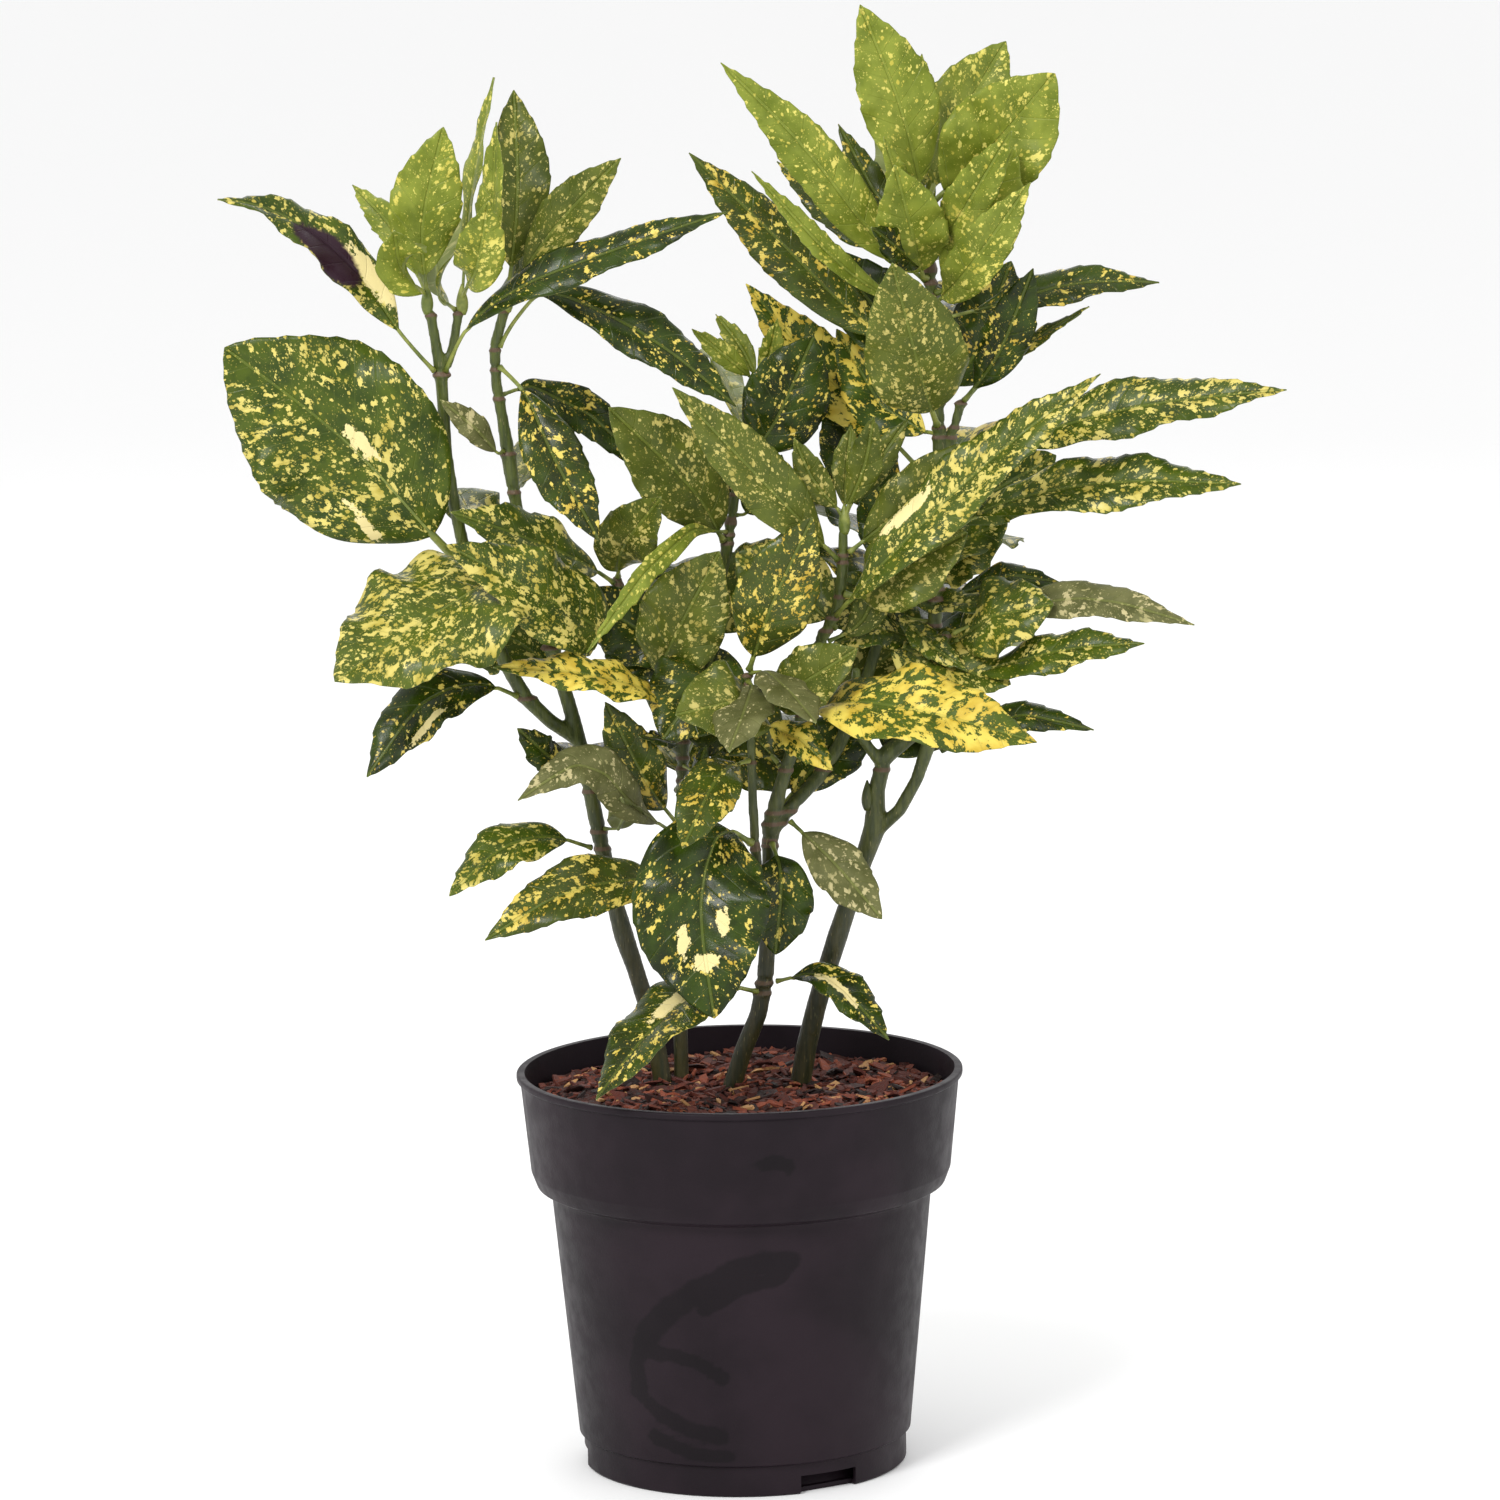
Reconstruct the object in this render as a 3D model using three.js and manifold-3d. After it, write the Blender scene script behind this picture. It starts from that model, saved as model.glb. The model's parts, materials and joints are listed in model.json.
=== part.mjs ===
// A spotted Japanese laurel (Aucuba japonica) in its black nursery pot. Millimetres, +Z up.
// The origin is the centre of the pot floor's underside, on the surface that the pot stands on.
// The front of the plant faces -Y.
import * as THREE from "three";
import { mergeVertices } from "three/addons/utils/BufferGeometryUtils.js";
import Module from "manifold-3d";

const wasm = await Module();
wasm.setup();

// ---- Driving dimensions ----------------------------------------------------------------------
const GAP = 0.3; // clearance between pieces that touch

const POT_HEIGHT = 170;
const POT_RIM_R = 95; // lip bead
const POT_COLLAR_R = 93.4; // top of the wide band under the lip
const POT_COLLAR_LOW_R = 89.5; // bottom of the wide band
const POT_COLLAR_LOW_Z = 128;
const POT_STEP_Z = 119; // where the band's rounded edge meets the body
const POT_BODY_R = 81.3; // body just under the band
const POT_HEEL_R = 71; // body just above the foot
const POT_FOOT_R = 69;
const POT_FOOT_HEIGHT = 13;
const POT_WALL = 1.8;
const POT_FLOOR = 2;
const POT_SEGMENTS = 32;

const CHANNEL_IN_R = 28; // the floor's raised drain channel
const CHANNEL_OUT_R = 59;
const CHANNEL_RISE = 4;
const DRAIN_HOLES = 8;
const DRAIN_R = 4;
const NOTCHES = 3; // gaps in the foot that let water out
const NOTCH_WIDTH = 27;
const NOTCH_HEIGHT = 8;
const NOTCH_TURN_DEG = -59;

const SOIL_Z = 159; // mean height of the potting mix
const SOIL_WAVE = 1.6; // how uneven it is
const STEM_DEPTH_Z = 95; // how far down in the mix the stems are planted

const STEM_SIDES = 8;
const STEM_STEP = 17; // length of stem from one section to the next
const NODE_SWELL = 1.28; // a leaf node's radius against the stem's
const NODE_REACH = 5; // how far along the stem a node swells

const LEAF_THICKNESS = 1.5; // at the midrib; the edges are thin
const LEAF_KEEL = 0.16; // how far the edges are raised, as a share of the half width
const PETIOLE_R = 1.1;
const BUD_R = 3.4;

// ---- Materials -------------------------------------------------------------------------------
function finish(color, roughness) {
  return () => new THREE.MeshStandardMaterial({ color, roughness, metalness: 0 });
}

const FINISHES = {
  pot: finish("#2b272a", 0.45),
  mix: finish("#54291c", 0.95),
  stem: finish("#3f5a1f", 0.5),
  dark: finish("#2c4a1a", 0.3),
  dusted: finish("#71803a", 0.4),
  golden: finish("#c2ab3e", 0.4),
  olive: finish("#55651f", 0.4),
  young: finish("#7c8c35", 0.45),
  pale: finish("#7d8052", 0.55),
};

const plant = new THREE.Group();

function addPiece(name, geometry, kind) {
  const mesh = new THREE.Mesh(geometry, FINISHES[kind]());
  mesh.name = name;
  plant.add(mesh);
}

// ---- Solids ----------------------------------------------------------------------------------
function toSolid(geometry) {
  const bare = geometry.clone();
  bare.deleteAttribute("normal");
  bare.deleteAttribute("uv");
  const merged = mergeVertices(bare, 1e-3);
  return new wasm.Manifold(
    new wasm.Mesh({
      numProp: 3,
      vertProperties: merged.attributes.position.array,
      triVerts: new Uint32Array(merged.index.array),
    }),
  );
}

function toGeometry(solid) {
  const mesh = solid.getMesh();
  const geometry = new THREE.BufferGeometry();
  geometry.setAttribute("position", new THREE.BufferAttribute(mesh.vertProperties, 3));
  geometry.setIndex(new THREE.BufferAttribute(mesh.triVerts, 1));
  geometry.computeVertexNormals();
  return geometry;
}

// A closed skin over rings of equal count, from a start point to an end point.
function loft(start, rings, end) {
  const count = rings[0].length;
  const points = [start, ...rings.flat(), end];
  const last = points.length - 1;
  const at = (ring, i) => 1 + ring * count + (i % count);
  const faces = [];
  for (let i = 0; i < count; i++) {
    faces.push(0, at(0, i), at(0, i + 1));
    for (let ring = 0; ring + 1 < rings.length; ring++) {
      faces.push(at(ring, i), at(ring + 1, i + 1), at(ring, i + 1));
      faces.push(at(ring, i), at(ring + 1, i), at(ring + 1, i + 1));
    }
    faces.push(last, at(rings.length - 1, i + 1), at(rings.length - 1, i));
  }
  const geometry = new THREE.BufferGeometry();
  const flat = points.flatMap((p) => [p.x, p.y, p.z]);
  geometry.setAttribute("position", new THREE.Float32BufferAttribute(flat, 3));
  geometry.setIndex(faces);
  geometry.computeVertexNormals();
  return geometry;
}

// Two directions across a tangent; the second is as near to `up` as it can be.
function across(tangent, up) {
  const normal = up.clone().addScaledVector(tangent, -up.dot(tangent)).normalize();
  const side = new THREE.Vector3().crossVectors(tangent, normal);
  return [side, normal];
}

// ---- Pot -------------------------------------------------------------------------------------
function lathe(profile) {
  const outline = profile.map(([radius, z]) => new THREE.Vector2(radius, z));
  return new THREE.LatheGeometry(outline, POT_SEGMENTS).rotateX(Math.PI / 2);
}

// The band's lower edge, a quarter round from the body out to the band.
function bandEdge(inset) {
  const points = [];
  for (const share of [0, 0.5, 1]) {
    const turn = (share * Math.PI) / 2;
    const reach = POT_COLLAR_LOW_R - POT_BODY_R;
    const radius = POT_BODY_R + reach * Math.sin(turn) - inset;
    const rise = POT_COLLAR_LOW_Z - POT_STEP_Z;
    points.push([radius, POT_STEP_Z + rise * (1 - Math.cos(turn)) + 0.4 * inset]);
  }
  return points;
}

function floorProfile(height, margin) {
  return [
    [0, height],
    [CHANNEL_IN_R - margin, height],
    [CHANNEL_IN_R + 2 - margin, height + CHANNEL_RISE],
    [CHANNEL_OUT_R + margin, height + CHANNEL_RISE],
    [CHANNEL_OUT_R + 2 + margin, height],
  ];
}

function makePot() {
  const outside = [
    [POT_FOOT_R - 1, 0],
    [POT_FOOT_R, 1],
    [POT_FOOT_R, POT_FOOT_HEIGHT],
    [POT_HEEL_R, POT_FOOT_HEIGHT + 1],
    [POT_BODY_R - 0.4, POT_STEP_Z - 2],
    ...bandEdge(0),
    [POT_COLLAR_R, POT_HEIGHT - 3.4],
    [POT_RIM_R, POT_HEIGHT - 2.4],
    [POT_RIM_R, POT_HEIGHT - 0.5],
    [POT_RIM_R - 0.6, POT_HEIGHT],
  ];
  const inside = [
    [POT_COLLAR_R - POT_WALL, POT_HEIGHT],
    ...bandEdge(POT_WALL).reverse(),
    [POT_HEEL_R - POT_WALL, POT_FOOT_HEIGHT + 2],
    [POT_FOOT_R - POT_WALL, POT_FOOT_HEIGHT + 1],
    [POT_FOOT_R - POT_WALL, POT_FLOOR],
  ];
  const floorTop = floorProfile(POT_FLOOR, 0.6).reverse();
  let pot = toSolid(lathe([...floorProfile(0, 0), ...outside, ...inside, ...floorTop]));
  for (let i = 0; i < DRAIN_HOLES; i++) {
    const turn = (2 * Math.PI * (i + 0.5)) / DRAIN_HOLES;
    const middle = (CHANNEL_IN_R + CHANNEL_OUT_R) / 2 + 1;
    const hole = new THREE.CylinderGeometry(DRAIN_R, DRAIN_R, 20, 12).rotateX(Math.PI / 2);
    hole.translate(middle * Math.cos(turn), middle * Math.sin(turn), 5);
    pot = pot.subtract(toSolid(hole));
  }
  for (let i = 0; i < NOTCHES; i++) {
    const turn = THREE.MathUtils.degToRad(NOTCH_TURN_DEG + (360 / NOTCHES) * i);
    const notch = new THREE.BoxGeometry(8, NOTCH_WIDTH, 2 * NOTCH_HEIGHT);
    notch.translate(POT_FOOT_R - 1, 0, 0).rotateZ(turn);
    pot = pot.subtract(toSolid(notch));
  }
  return pot;
}

// ---- Potting mix -----------------------------------------------------------------------------
function makeMix(planted) {
  const bands = bandEdge(POT_WALL + GAP).map(([radius, z]) => [radius, z + 0.2]);
  const wallR = (z) =>
    THREE.MathUtils.mapLinear(z, POT_COLLAR_LOW_Z, POT_HEIGHT, POT_COLLAR_LOW_R, POT_COLLAR_R);
  const edgeR = wallR(SOIL_Z) - POT_WALL - GAP - 0.4;
  const geometry = lathe([
    ...floorProfile(POT_FLOOR + GAP, 0.6 + GAP),
    [POT_FOOT_R - POT_WALL - GAP, POT_FLOOR + GAP],
    [POT_FOOT_R - POT_WALL - GAP, POT_FOOT_HEIGHT + 1],
    [POT_HEEL_R - POT_WALL - GAP, POT_FOOT_HEIGHT + 2.6],
    ...bands,
    [edgeR, SOIL_Z],
    [edgeR * 0.82, SOIL_Z + 0.01],
    [edgeR * 0.58, SOIL_Z + 0.02],
    [edgeR * 0.3, SOIL_Z + 0.03],
    [0, SOIL_Z + 0.04],
  ]);
  const position = geometry.attributes.position;
  for (let i = 0; i < position.count; i++) {
    if (position.getZ(i) < SOIL_Z - 1) continue;
    const x = position.getX(i);
    const y = position.getY(i);
    const crown = 1.5 * (1 - Math.hypot(x, y) / edgeR);
    const wave = SOIL_WAVE * Math.sin(x / 11 + 1) * Math.cos(y / 13 + x / 40);
    position.setZ(i, SOIL_Z + crown + wave);
  }
  let mix = toSolid(geometry);
  for (const socket of planted) mix = mix.subtract(socket);
  return mix;
}

// ---- Stems -----------------------------------------------------------------------------------
// Each shoot: its centre line from low to high, its radius at both ends, and the heights of its
// leaf nodes. A shoot that grows out of another starts on that one's centre line.
const SHOOTS = {
  left: {
    line: [
      [-35, 23, STEM_DEPTH_Z], [-33, 24, 157], [-39, 24, 192], [-50, 22, 229], [-57, 20, 262],
      [-66, 16, 310], [-78, 12, 355], [-88, 8, 398], [-94, 4, 441], [-98, 0, 477], [-93, -2, 496],
    ],
    radii: [4.4, 2.2],
    nodes: [226, 262, 350, 432, 476],
  },
  left_outer: {
    line: [
      [-66, 16, 310], [-86, 8, 327], [-104, 2, 364], [-110, 0, 384], [-118, -7, 430],
      [-120, -10, 468], [-124, -12, 497],
    ],
    radii: [3.2, 2.2],
    nodes: [327, 384, 468],
  },
  left_tip: {
    line: [[-120, -10, 466], [-115, -9, 480], [-112, -8, 496]],
    radii: [2.2, 2],
    nodes: [],
  },
  back: {
    line: [
      [-24, 32, STEM_DEPTH_Z], [-25, 30, 157], [-25, 30, 224], [-23, 28, 267], [-21, 26, 311],
      [-12, 22, 347], [-2, 18, 390], [4, 20, 425], [11, 22, 454],
    ],
    radii: [3.6, 1.9],
    nodes: [222, 267, 328, 390, 425],
  },
  back_left: {
    line: [[-22, 27, 300], [-33, 29, 320], [-43, 30, 346], [-49, 30, 378]],
    radii: [2.6, 2],
    nodes: [346, 374],
  },
  centre: {
    line: [
      [-6, 8, STEM_DEPTH_Z], [-4, 6, 157], [2, 5, 177], [10, 4, 198], [14, 2, 250], [15, 0, 275],
      [28, -6, 319], [36, -10, 352], [45, -14, 371], [47, -16, 402],
    ],
    radii: [4.6, 2],
    nodes: [204, 250, 275, 352, 388],
  },
  centre_right: {
    line: [
      [15, 0, 272], [21, 2, 280], [32, 8, 289], [47, 14, 311], [63, 18, 354], [67, 20, 368],
      [74, 22, 389], [84, 24, 427],
    ],
    radii: [3.2, 2],
    nodes: [311, 368, 408],
  },
  front: {
    line: [[13, 3, 238], [9, -5, 256], [8, -9, 270], [7, -11, 319], [6, -12, 342]],
    radii: [2.3, 1.7],
    nodes: [270, 319],
  },
  right: {
    line: [
      [24, 14, STEM_DEPTH_Z], [26, 14, 160], [33, 12, 193], [44, 8, 229], [53, 6, 255],
      [59, 4, 272], [60, 4, 289], [62, 2, 302], [75, 2, 310], [85, 0, 357], [87, -2, 394],
      [88, 0, 440], [86, 0, 490], [84, 2, 528],
    ],
    radii: [5, 2.1],
    nodes: [229, 272, 302, 375, 440, 468, 490, 512],
  },
  right_side: {
    line: [[87, -2, 398], [93, -2, 438], [98, 0, 455]],
    radii: [2.4, 2],
    nodes: [430],
  },
  right_low: {
    line: [[59, 4, 270], [66, 0, 276], [72, -4, 285], [79, -8, 300], [85, -10, 324], [90, -12, 358]],
    radii: [3, 2],
    nodes: [310, 338],
  },
  right_inner: {
    line: [[62, 2, 300], [55, -2, 309], [51, -5, 326], [52, -7, 342]],
    radii: [2.6, 1.9],
    nodes: [326],
  },
};

// The four plants in the pot, each a tree of shoots that grew as one piece.
const PLANTS = {
  stem_left: ["left", "left_outer", "left_tip"],
  stem_back: ["back", "back_left"],
  stem_centre: ["centre", "centre_right", "front"],
  stem_right: ["right", "right_side", "right_low", "right_inner"],
};

const curves = {};
for (const [name, shoot] of Object.entries(SHOOTS)) {
  const points = shoot.line.map((p) => new THREE.Vector3(...p));
  curves[name] = new THREE.CatmullRomCurve3(points, false, "centripetal");
}

function shootRadius(shoot, share, z) {
  const [low, high] = shoot.radii;
  const swell = shoot.nodes.reduce(
    (most, node) => Math.max(most, 1 - Math.abs(z - node) / NODE_REACH),
    0,
  );
  return (low + (high - low) * share) * (1 + (NODE_SWELL - 1) * swell);
}

function shootSolid(name, extra = 0) {
  const shoot = SHOOTS[name];
  const curve = curves[name];
  const steps = Math.ceil(curve.getLength() / STEM_STEP);
  const rings = [];
  for (let step = 0; step <= steps; step++) {
    const share = step / steps;
    const middle = curve.getPointAt(share);
    const [side, normal] = across(curve.getTangentAt(share), new THREE.Vector3(0.3, 1, 0));
    const radius = shootRadius(shoot, share, middle.z) + extra;
    rings.push(
      Array.from({ length: STEM_SIDES }, (_, i) => {
        const turn = (2 * Math.PI * (i + 0.37)) / STEM_SIDES;
        const rim = middle.clone().addScaledVector(side, radius * Math.cos(turn));
        return rim.addScaledVector(normal, radius * Math.sin(turn));
      }),
    );
  }
  const start = curve.getPointAt(0).addScaledVector(curve.getTangentAt(0), -1 - extra);
  const end = curve.getPointAt(1).addScaledVector(curve.getTangentAt(1), 1 + extra);
  return toSolid(loft(start, rings, end));
}

// The point on a shoot's centre line at height z, and the shoot's radius there.
function onShoot(name, z) {
  const curve = curves[name];
  const samples = curve.getSpacedPoints(300);
  let best = 0;
  samples.forEach((point, i) => {
    if (Math.abs(point.z - z) < Math.abs(samples[best].z - z)) best = i;
  });
  return { point: samples[best], radius: shootRadius(SHOOTS[name], best / 300, z) };
}

// ---- Leaves ----------------------------------------------------------------------------------
// Sections along the leaf: the share of the leaf's length, and the share of its full half width.
const BLADE = [
  [0, 0.1], [0.13, 0.5], [0.3, 0.9], [0.48, 1], [0.66, 0.86], [0.83, 0.5],
];

// One leaf: `from` is a shoot and a height on it, `path` the points that the midrib passes on its
// way to the tip (the last one), `width` the blade's full width, `petiole` the bare stalk's length,
// `face` the direction that the upper side looks in, and `twist` its turn from base to tip, degrees.
function leafSolid({ start, path, width, petiole = 12, face = [0, -1, 0.5], twist = 0 }) {
  const points = [start, ...path.map((p) => new THREE.Vector3(...p))];
  const curve = new THREE.CatmullRomCurve3(points, false, "centripetal");
  const length = curve.getLength();
  const bladeFrom = Math.min(petiole / length, 0.4);
  const up = new THREE.Vector3(...face).normalize();
  const sections = [[bladeFrom * 0.35, 0]];
  for (const [share, half] of BLADE) sections.push([bladeFrom + (1 - bladeFrom) * share, half]);
  const rings = sections.map(([share, half]) => {
    const middle = curve.getPointAt(share);
    const tangent = curve.getTangentAt(share);
    const turned = up.clone().applyAxisAngle(tangent, THREE.MathUtils.degToRad(twist * share));
    const [side, normal] = across(tangent, turned);
    const reach = Math.max((width / 2) * half, PETIOLE_R);
    const raised = LEAF_KEEL * reach;
    const thick = half > 0.1 ? LEAF_THICKNESS / 2 : PETIOLE_R;
    return [
      middle.clone().addScaledVector(side, -reach).addScaledVector(normal, raised),
      middle.clone().addScaledVector(normal, -thick),
      middle.clone().addScaledVector(side, reach).addScaledVector(normal, raised),
      middle.clone().addScaledVector(normal, thick),
    ];
  });
  return loft(curve.getPointAt(0), rings, curve.getPointAt(1));
}

// A leaf on a shoot starts just clear of the bark.
function singleLeaf(leaf) {
  const [shoot, z] = leaf.from;
  const { point, radius } = onShoot(shoot, z);
  const way = new THREE.Vector3(...leaf.path[0]).sub(point).normalize();
  return leafSolid({ ...leaf, start: point.clone().addScaledVector(way, radius * 1.25 + 0.8) });
}

// The young leaves at a shoot's tip grow out of one bud and make one piece with it.
function tipCluster({ from, leaves }) {
  const curve = curves[from];
  const out = curve.getTangentAt(1);
  const middle = curve.getPointAt(1).addScaledVector(out, BUD_R * 1.5 + 1.6);
  const bud = new THREE.SphereGeometry(BUD_R, 8, 6).rotateX(Math.PI / 2);
  bud.scale(0.85, 0.85, 1.5).translate(middle.x, middle.y, middle.z);
  let cluster = toSolid(bud);
  for (const leaf of leaves) cluster = cluster.add(toSolid(leafSolid({ ...leaf, start: middle })));
  return cluster;
}

const LEAVES = {
  left: [
    { name: "leaf_left_long", kind: "dusted", from: ["left_outer", 468], width: 22, petiole: 24,
      path: [[-135, -18, 486], [-151, -24, 512], [-170, -30, 531], [-190, -36, 543], [-209, -42, 547]],
      face: [-0.3, -0.6, 0.8] },
    { name: "leaf_left_bridge", kind: "dark", from: ["left_outer", 467], width: 20, petiole: 22,
      path: [[-108, -20, 491], [-85, -30, 508], [-60, -34, 518], [-28, -36, 529], [1, -34, 538]],
      face: [0, -0.7, 0.7] },
    { name: "leaf_left_arched", kind: "dark", from: ["left", 476], width: 23, petiole: 30,
      path: [[-80, -7, 503], [-50, -13, 494], [-23, -20, 478], [3, -26, 456]],
      face: [0, -0.75, 0.65] },
    { name: "leaf_left_hanging", kind: "dark", from: ["left", 473], width: 24, petiole: 16,
      path: [[-86, -12, 463], [-74, -24, 437], [-55, -34, 402]], face: [0.2, -0.95, 0.3] },
    { name: "leaf_left_large", kind: "dusted", from: ["left_outer", 384], width: 73, petiole: 20,
      path: [[-126, -10, 403], [-159, -22, 443], [-209, -26, 484]], face: [-0.1, -1, 0.1] },
    { name: "leaf_left_forward", kind: "dusted", from: ["left", 388], width: 62, petiole: 14,
      path: [[-97, -18, 386], [-126, -46, 372], [-164, -72, 350]], face: [-0.2, -0.75, 0.6] },
    { name: "leaf_left_glossy", kind: "dark", from: ["left_outer", 329], width: 26, petiole: 12,
      path: [[-106, -6, 338], [-128, -18, 334], [-154, -30, 303]], face: [-0.2, -0.8, 0.6] },
    { name: "leaf_left_low", kind: "dusted", from: ["left", 262], width: 22, petiole: 14,
      path: [[-80, 2, 271], [-99, -8, 268], [-121, -20, 250]], face: [-0.2, -0.75, 0.6] },
    { name: "leaf_left_rear", kind: "dark", from: ["left", 350], width: 34, petiole: 16,
      path: [[-78, 50, 362], [-74, 112, 342]], face: [0, 0.3, 1] },
  ],
  back: [
    { name: "leaf_back_golden", kind: "golden", from: ["back", 324], width: 22, petiole: 14,
      path: [[-32, 2, 332], [-62, -22, 344], [-100, -32, 349]], face: [0, -0.65, 0.75] },
    { name: "leaf_back_dusted", kind: "dusted", from: ["back_left", 374], width: 26, petiole: 12,
      path: [[-62, 12, 386], [-86, -8, 400], [-117, -20, 413]], face: [0, -0.8, 0.6] },
    { name: "leaf_back_shade", kind: "dark", from: ["back", 362], width: 36, petiole: 14,
      path: [[-20, 52, 380], [-56, 104, 352]], face: [0, -0.2, 1] },
    { name: "leaf_back_small", kind: "olive", from: ["back_left", 376], width: 25, petiole: 6,
      path: [[-46, 4, 393], [-29, -22, 418]], face: [0.1, -0.95, 0.35] },
    { name: "leaf_back_olive", kind: "olive", from: ["back", 391], width: 35, petiole: 6,
      path: [[-14, 0, 416], [-50, -22, 456]], face: [0.1, -0.95, 0.3] },
    { name: "leaf_back_glossy", kind: "dark", from: ["back", 425], width: 34, petiole: 8,
      path: [[18, 10, 443], [36, 12, 481]], face: [0.1, -1, 0.1] },
    { name: "leaf_back_broad", kind: "olive", from: ["back_left", 328], width: 36, petiole: 10,
      path: [[-26, 8, 352], [-5, -8, 393]], face: [0, -0.95, 0.3] },
    { name: "leaf_back_shining", kind: "dark", from: ["back", 268], width: 22, petiole: 12,
      path: [[-36, 8, 290], [-54, -10, 330]], face: [0.1, -0.95, 0.3] },
    { name: "leaf_back_folded", kind: "pale", from: ["back", 265], width: 20, petiole: 18,
      path: [[-44, -6, 286], [-62, -18, 306], [-91, -30, 292]], face: [0, -0.8, 0.6] },
    { name: "leaf_back_low", kind: "dark", from: ["back", 247], width: 26, petiole: 16,
      path: [[-43, -4, 253], [-72, -20, 251], [-106, -32, 233]], face: [-0.1, -0.85, 0.5] },
    { name: "leaf_back_rear", kind: "dusted", from: ["back", 300], width: 36, petiole: 16,
      path: [[-8, 62, 318], [14, 112, 296]], face: [0, 0.3, 1] },
  ],
  centre: [
    { name: "leaf_centre_speckled", kind: "olive", from: ["centre", 387], width: 25, petiole: 10,
      path: [[26, -34, 412], [-23, -50, 467]], face: [0.1, -0.95, 0.4] },
    { name: "leaf_centre_gold", kind: "golden", from: ["centre_right", 420], width: 26, petiole: 12,
      path: [[66, 26, 438], [36, 32, 468], [8, 38, 501]], face: [0.1, -0.95, 0.3] },
    { name: "leaf_centre_front", kind: "dusted", from: ["centre", 364], width: 26, petiole: 14,
      path: [[60, -40, 388], [106, -52, 434], [153, -60, 471]], face: [-0.1, -0.8, 0.6] },
    { name: "leaf_centre_light", kind: "olive", from: ["centre", 390], width: 24, petiole: 8,
      path: [[72, -24, 412], [101, -28, 440]], face: [-0.1, -0.9, 0.4] },
    { name: "leaf_centre_upright", kind: "dark", from: ["front", 341], width: 32, petiole: 8,
      path: [[16, -32, 372], [34, -42, 411]], face: [0, -1, 0.2] },
    { name: "leaf_centre_grey", kind: "olive", from: ["centre", 352], width: 15, petiole: 7,
      path: [[54, -10, 362], [64, -4, 387]], face: [0.2, -1, 0.2] },
    { name: "leaf_centre_golden", kind: "golden", from: ["centre", 322], width: 38, petiole: 9,
      path: [[46, -36, 333], [84, -64, 331], [125, -72, 320]], face: [0.1, -0.75, 0.65] },
    { name: "leaf_front_hanging", kind: "dark", from: ["front", 268], width: 54, petiole: 16,
      path: [[-6, -30, 278], [-15, -48, 252], [-10, -62, 204]], face: [0, -1, 0.2] },
    { name: "leaf_front_upper", kind: "dark", from: ["front", 305], width: 23, petiole: 8,
      path: [[-6, -36, 303], [-22, -66, 277]], face: [0, -0.8, 0.5] },
    { name: "leaf_centre_dark", kind: "dark", from: ["centre", 270], width: 26, petiole: 8,
      path: [[19, -18, 256], [16, -22, 223]], face: [0.1, -1, 0.2] },
    { name: "leaf_centre_matt", kind: "pale", from: ["centre_right", 279], width: 22, petiole: 8,
      path: [[40, -14, 262], [61, -24, 238]], face: [0.2, -0.9, 0.4] },
    { name: "leaf_front_rim", kind: "dark", from: ["centre", 202], width: 32, petiole: 14,
      path: [[-12, -32, 212], [-36, -66, 201], [-59, -98, 178]], face: [-0.3, -0.55, 0.75] },
    { name: "leaf_front_yellow", kind: "dark", from: ["centre", 206], width: 18, petiole: 8,
      path: [[36, -12, 212], [63, -38, 189]], face: [0.2, -0.7, 0.7] },
  ],
  right: [
    { name: "leaf_top_cross", kind: "young", from: ["right", 502], width: 22, petiole: 12,
      path: [[62, -12, 524], [34, -22, 562], [-1, -30, 599]], face: [0.1, -0.95, 0.3] },
    { name: "leaf_top_narrow", kind: "young", from: ["right", 490], width: 10, petiole: 14,
      path: [[54, -20, 508], [11, -42, 555]], face: [0.1, -0.9, 0.4] },
    { name: "leaf_top_dark", kind: "dark", from: ["right", 476], width: 24, petiole: 14,
      path: [[58, 4, 487], [22, 8, 522], [-15, 10, 559]], face: [0.1, -0.95, 0.3] },
    { name: "leaf_top_shade", kind: "dark", from: ["right", 508], width: 18, petiole: 12,
      path: [[54, 34, 526], [22, 58, 551]], face: [0, -0.8, 0.6] },
    { name: "leaf_top_right", kind: "young", from: ["right", 511], width: 19, petiole: 8,
      path: [[96, -26, 532], [118, -46, 570]], face: [0, -0.95, 0.4] },
    { name: "leaf_top_gloss", kind: "young", from: ["right", 493], width: 20, petiole: 8,
      path: [[98, -34, 510], [125, -60, 550]], face: [0.1, -0.95, 0.3] },
    { name: "leaf_top_broad", kind: "olive", from: ["right", 441], width: 40, petiole: 12,
      path: [[80, -34, 468], [68, -62, 518]], face: [0, -1, 0.2] },
    { name: "leaf_top_rear", kind: "dark", from: ["right", 470], width: 28, petiole: 12,
      path: [[98, 34, 488], [110, 92, 505]], face: [0, 0.2, 1] },
    { name: "leaf_side_dark", kind: "dark", from: ["right_side", 452], width: 20, petiole: 8,
      path: [[112, -16, 474], [127, -30, 512]], face: [0.1, -1, 0.2] },
    { name: "leaf_top_reaching", kind: "dark", from: ["right", 488], width: 18, petiole: 14,
      path: [[110, -6, 494], [146, -12, 504], [180, -16, 504]], face: [0, -0.7, 0.7] },
    { name: "leaf_side_long", kind: "dusted", from: ["right_side", 430], width: 26, petiole: 18,
      path: [[118, -10, 438], [172, -28, 454], [231, -40, 461]], face: [0, -0.75, 0.65] },
    { name: "leaf_side_pale", kind: "dusted", from: ["right", 393], width: 26, petiole: 16,
      path: [[106, -10, 409], [156, -28, 422], [212, -40, 422]], face: [0, -0.75, 0.65] },
    { name: "leaf_side_rear", kind: "dusted", from: ["right", 374], width: 28, petiole: 14,
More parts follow.
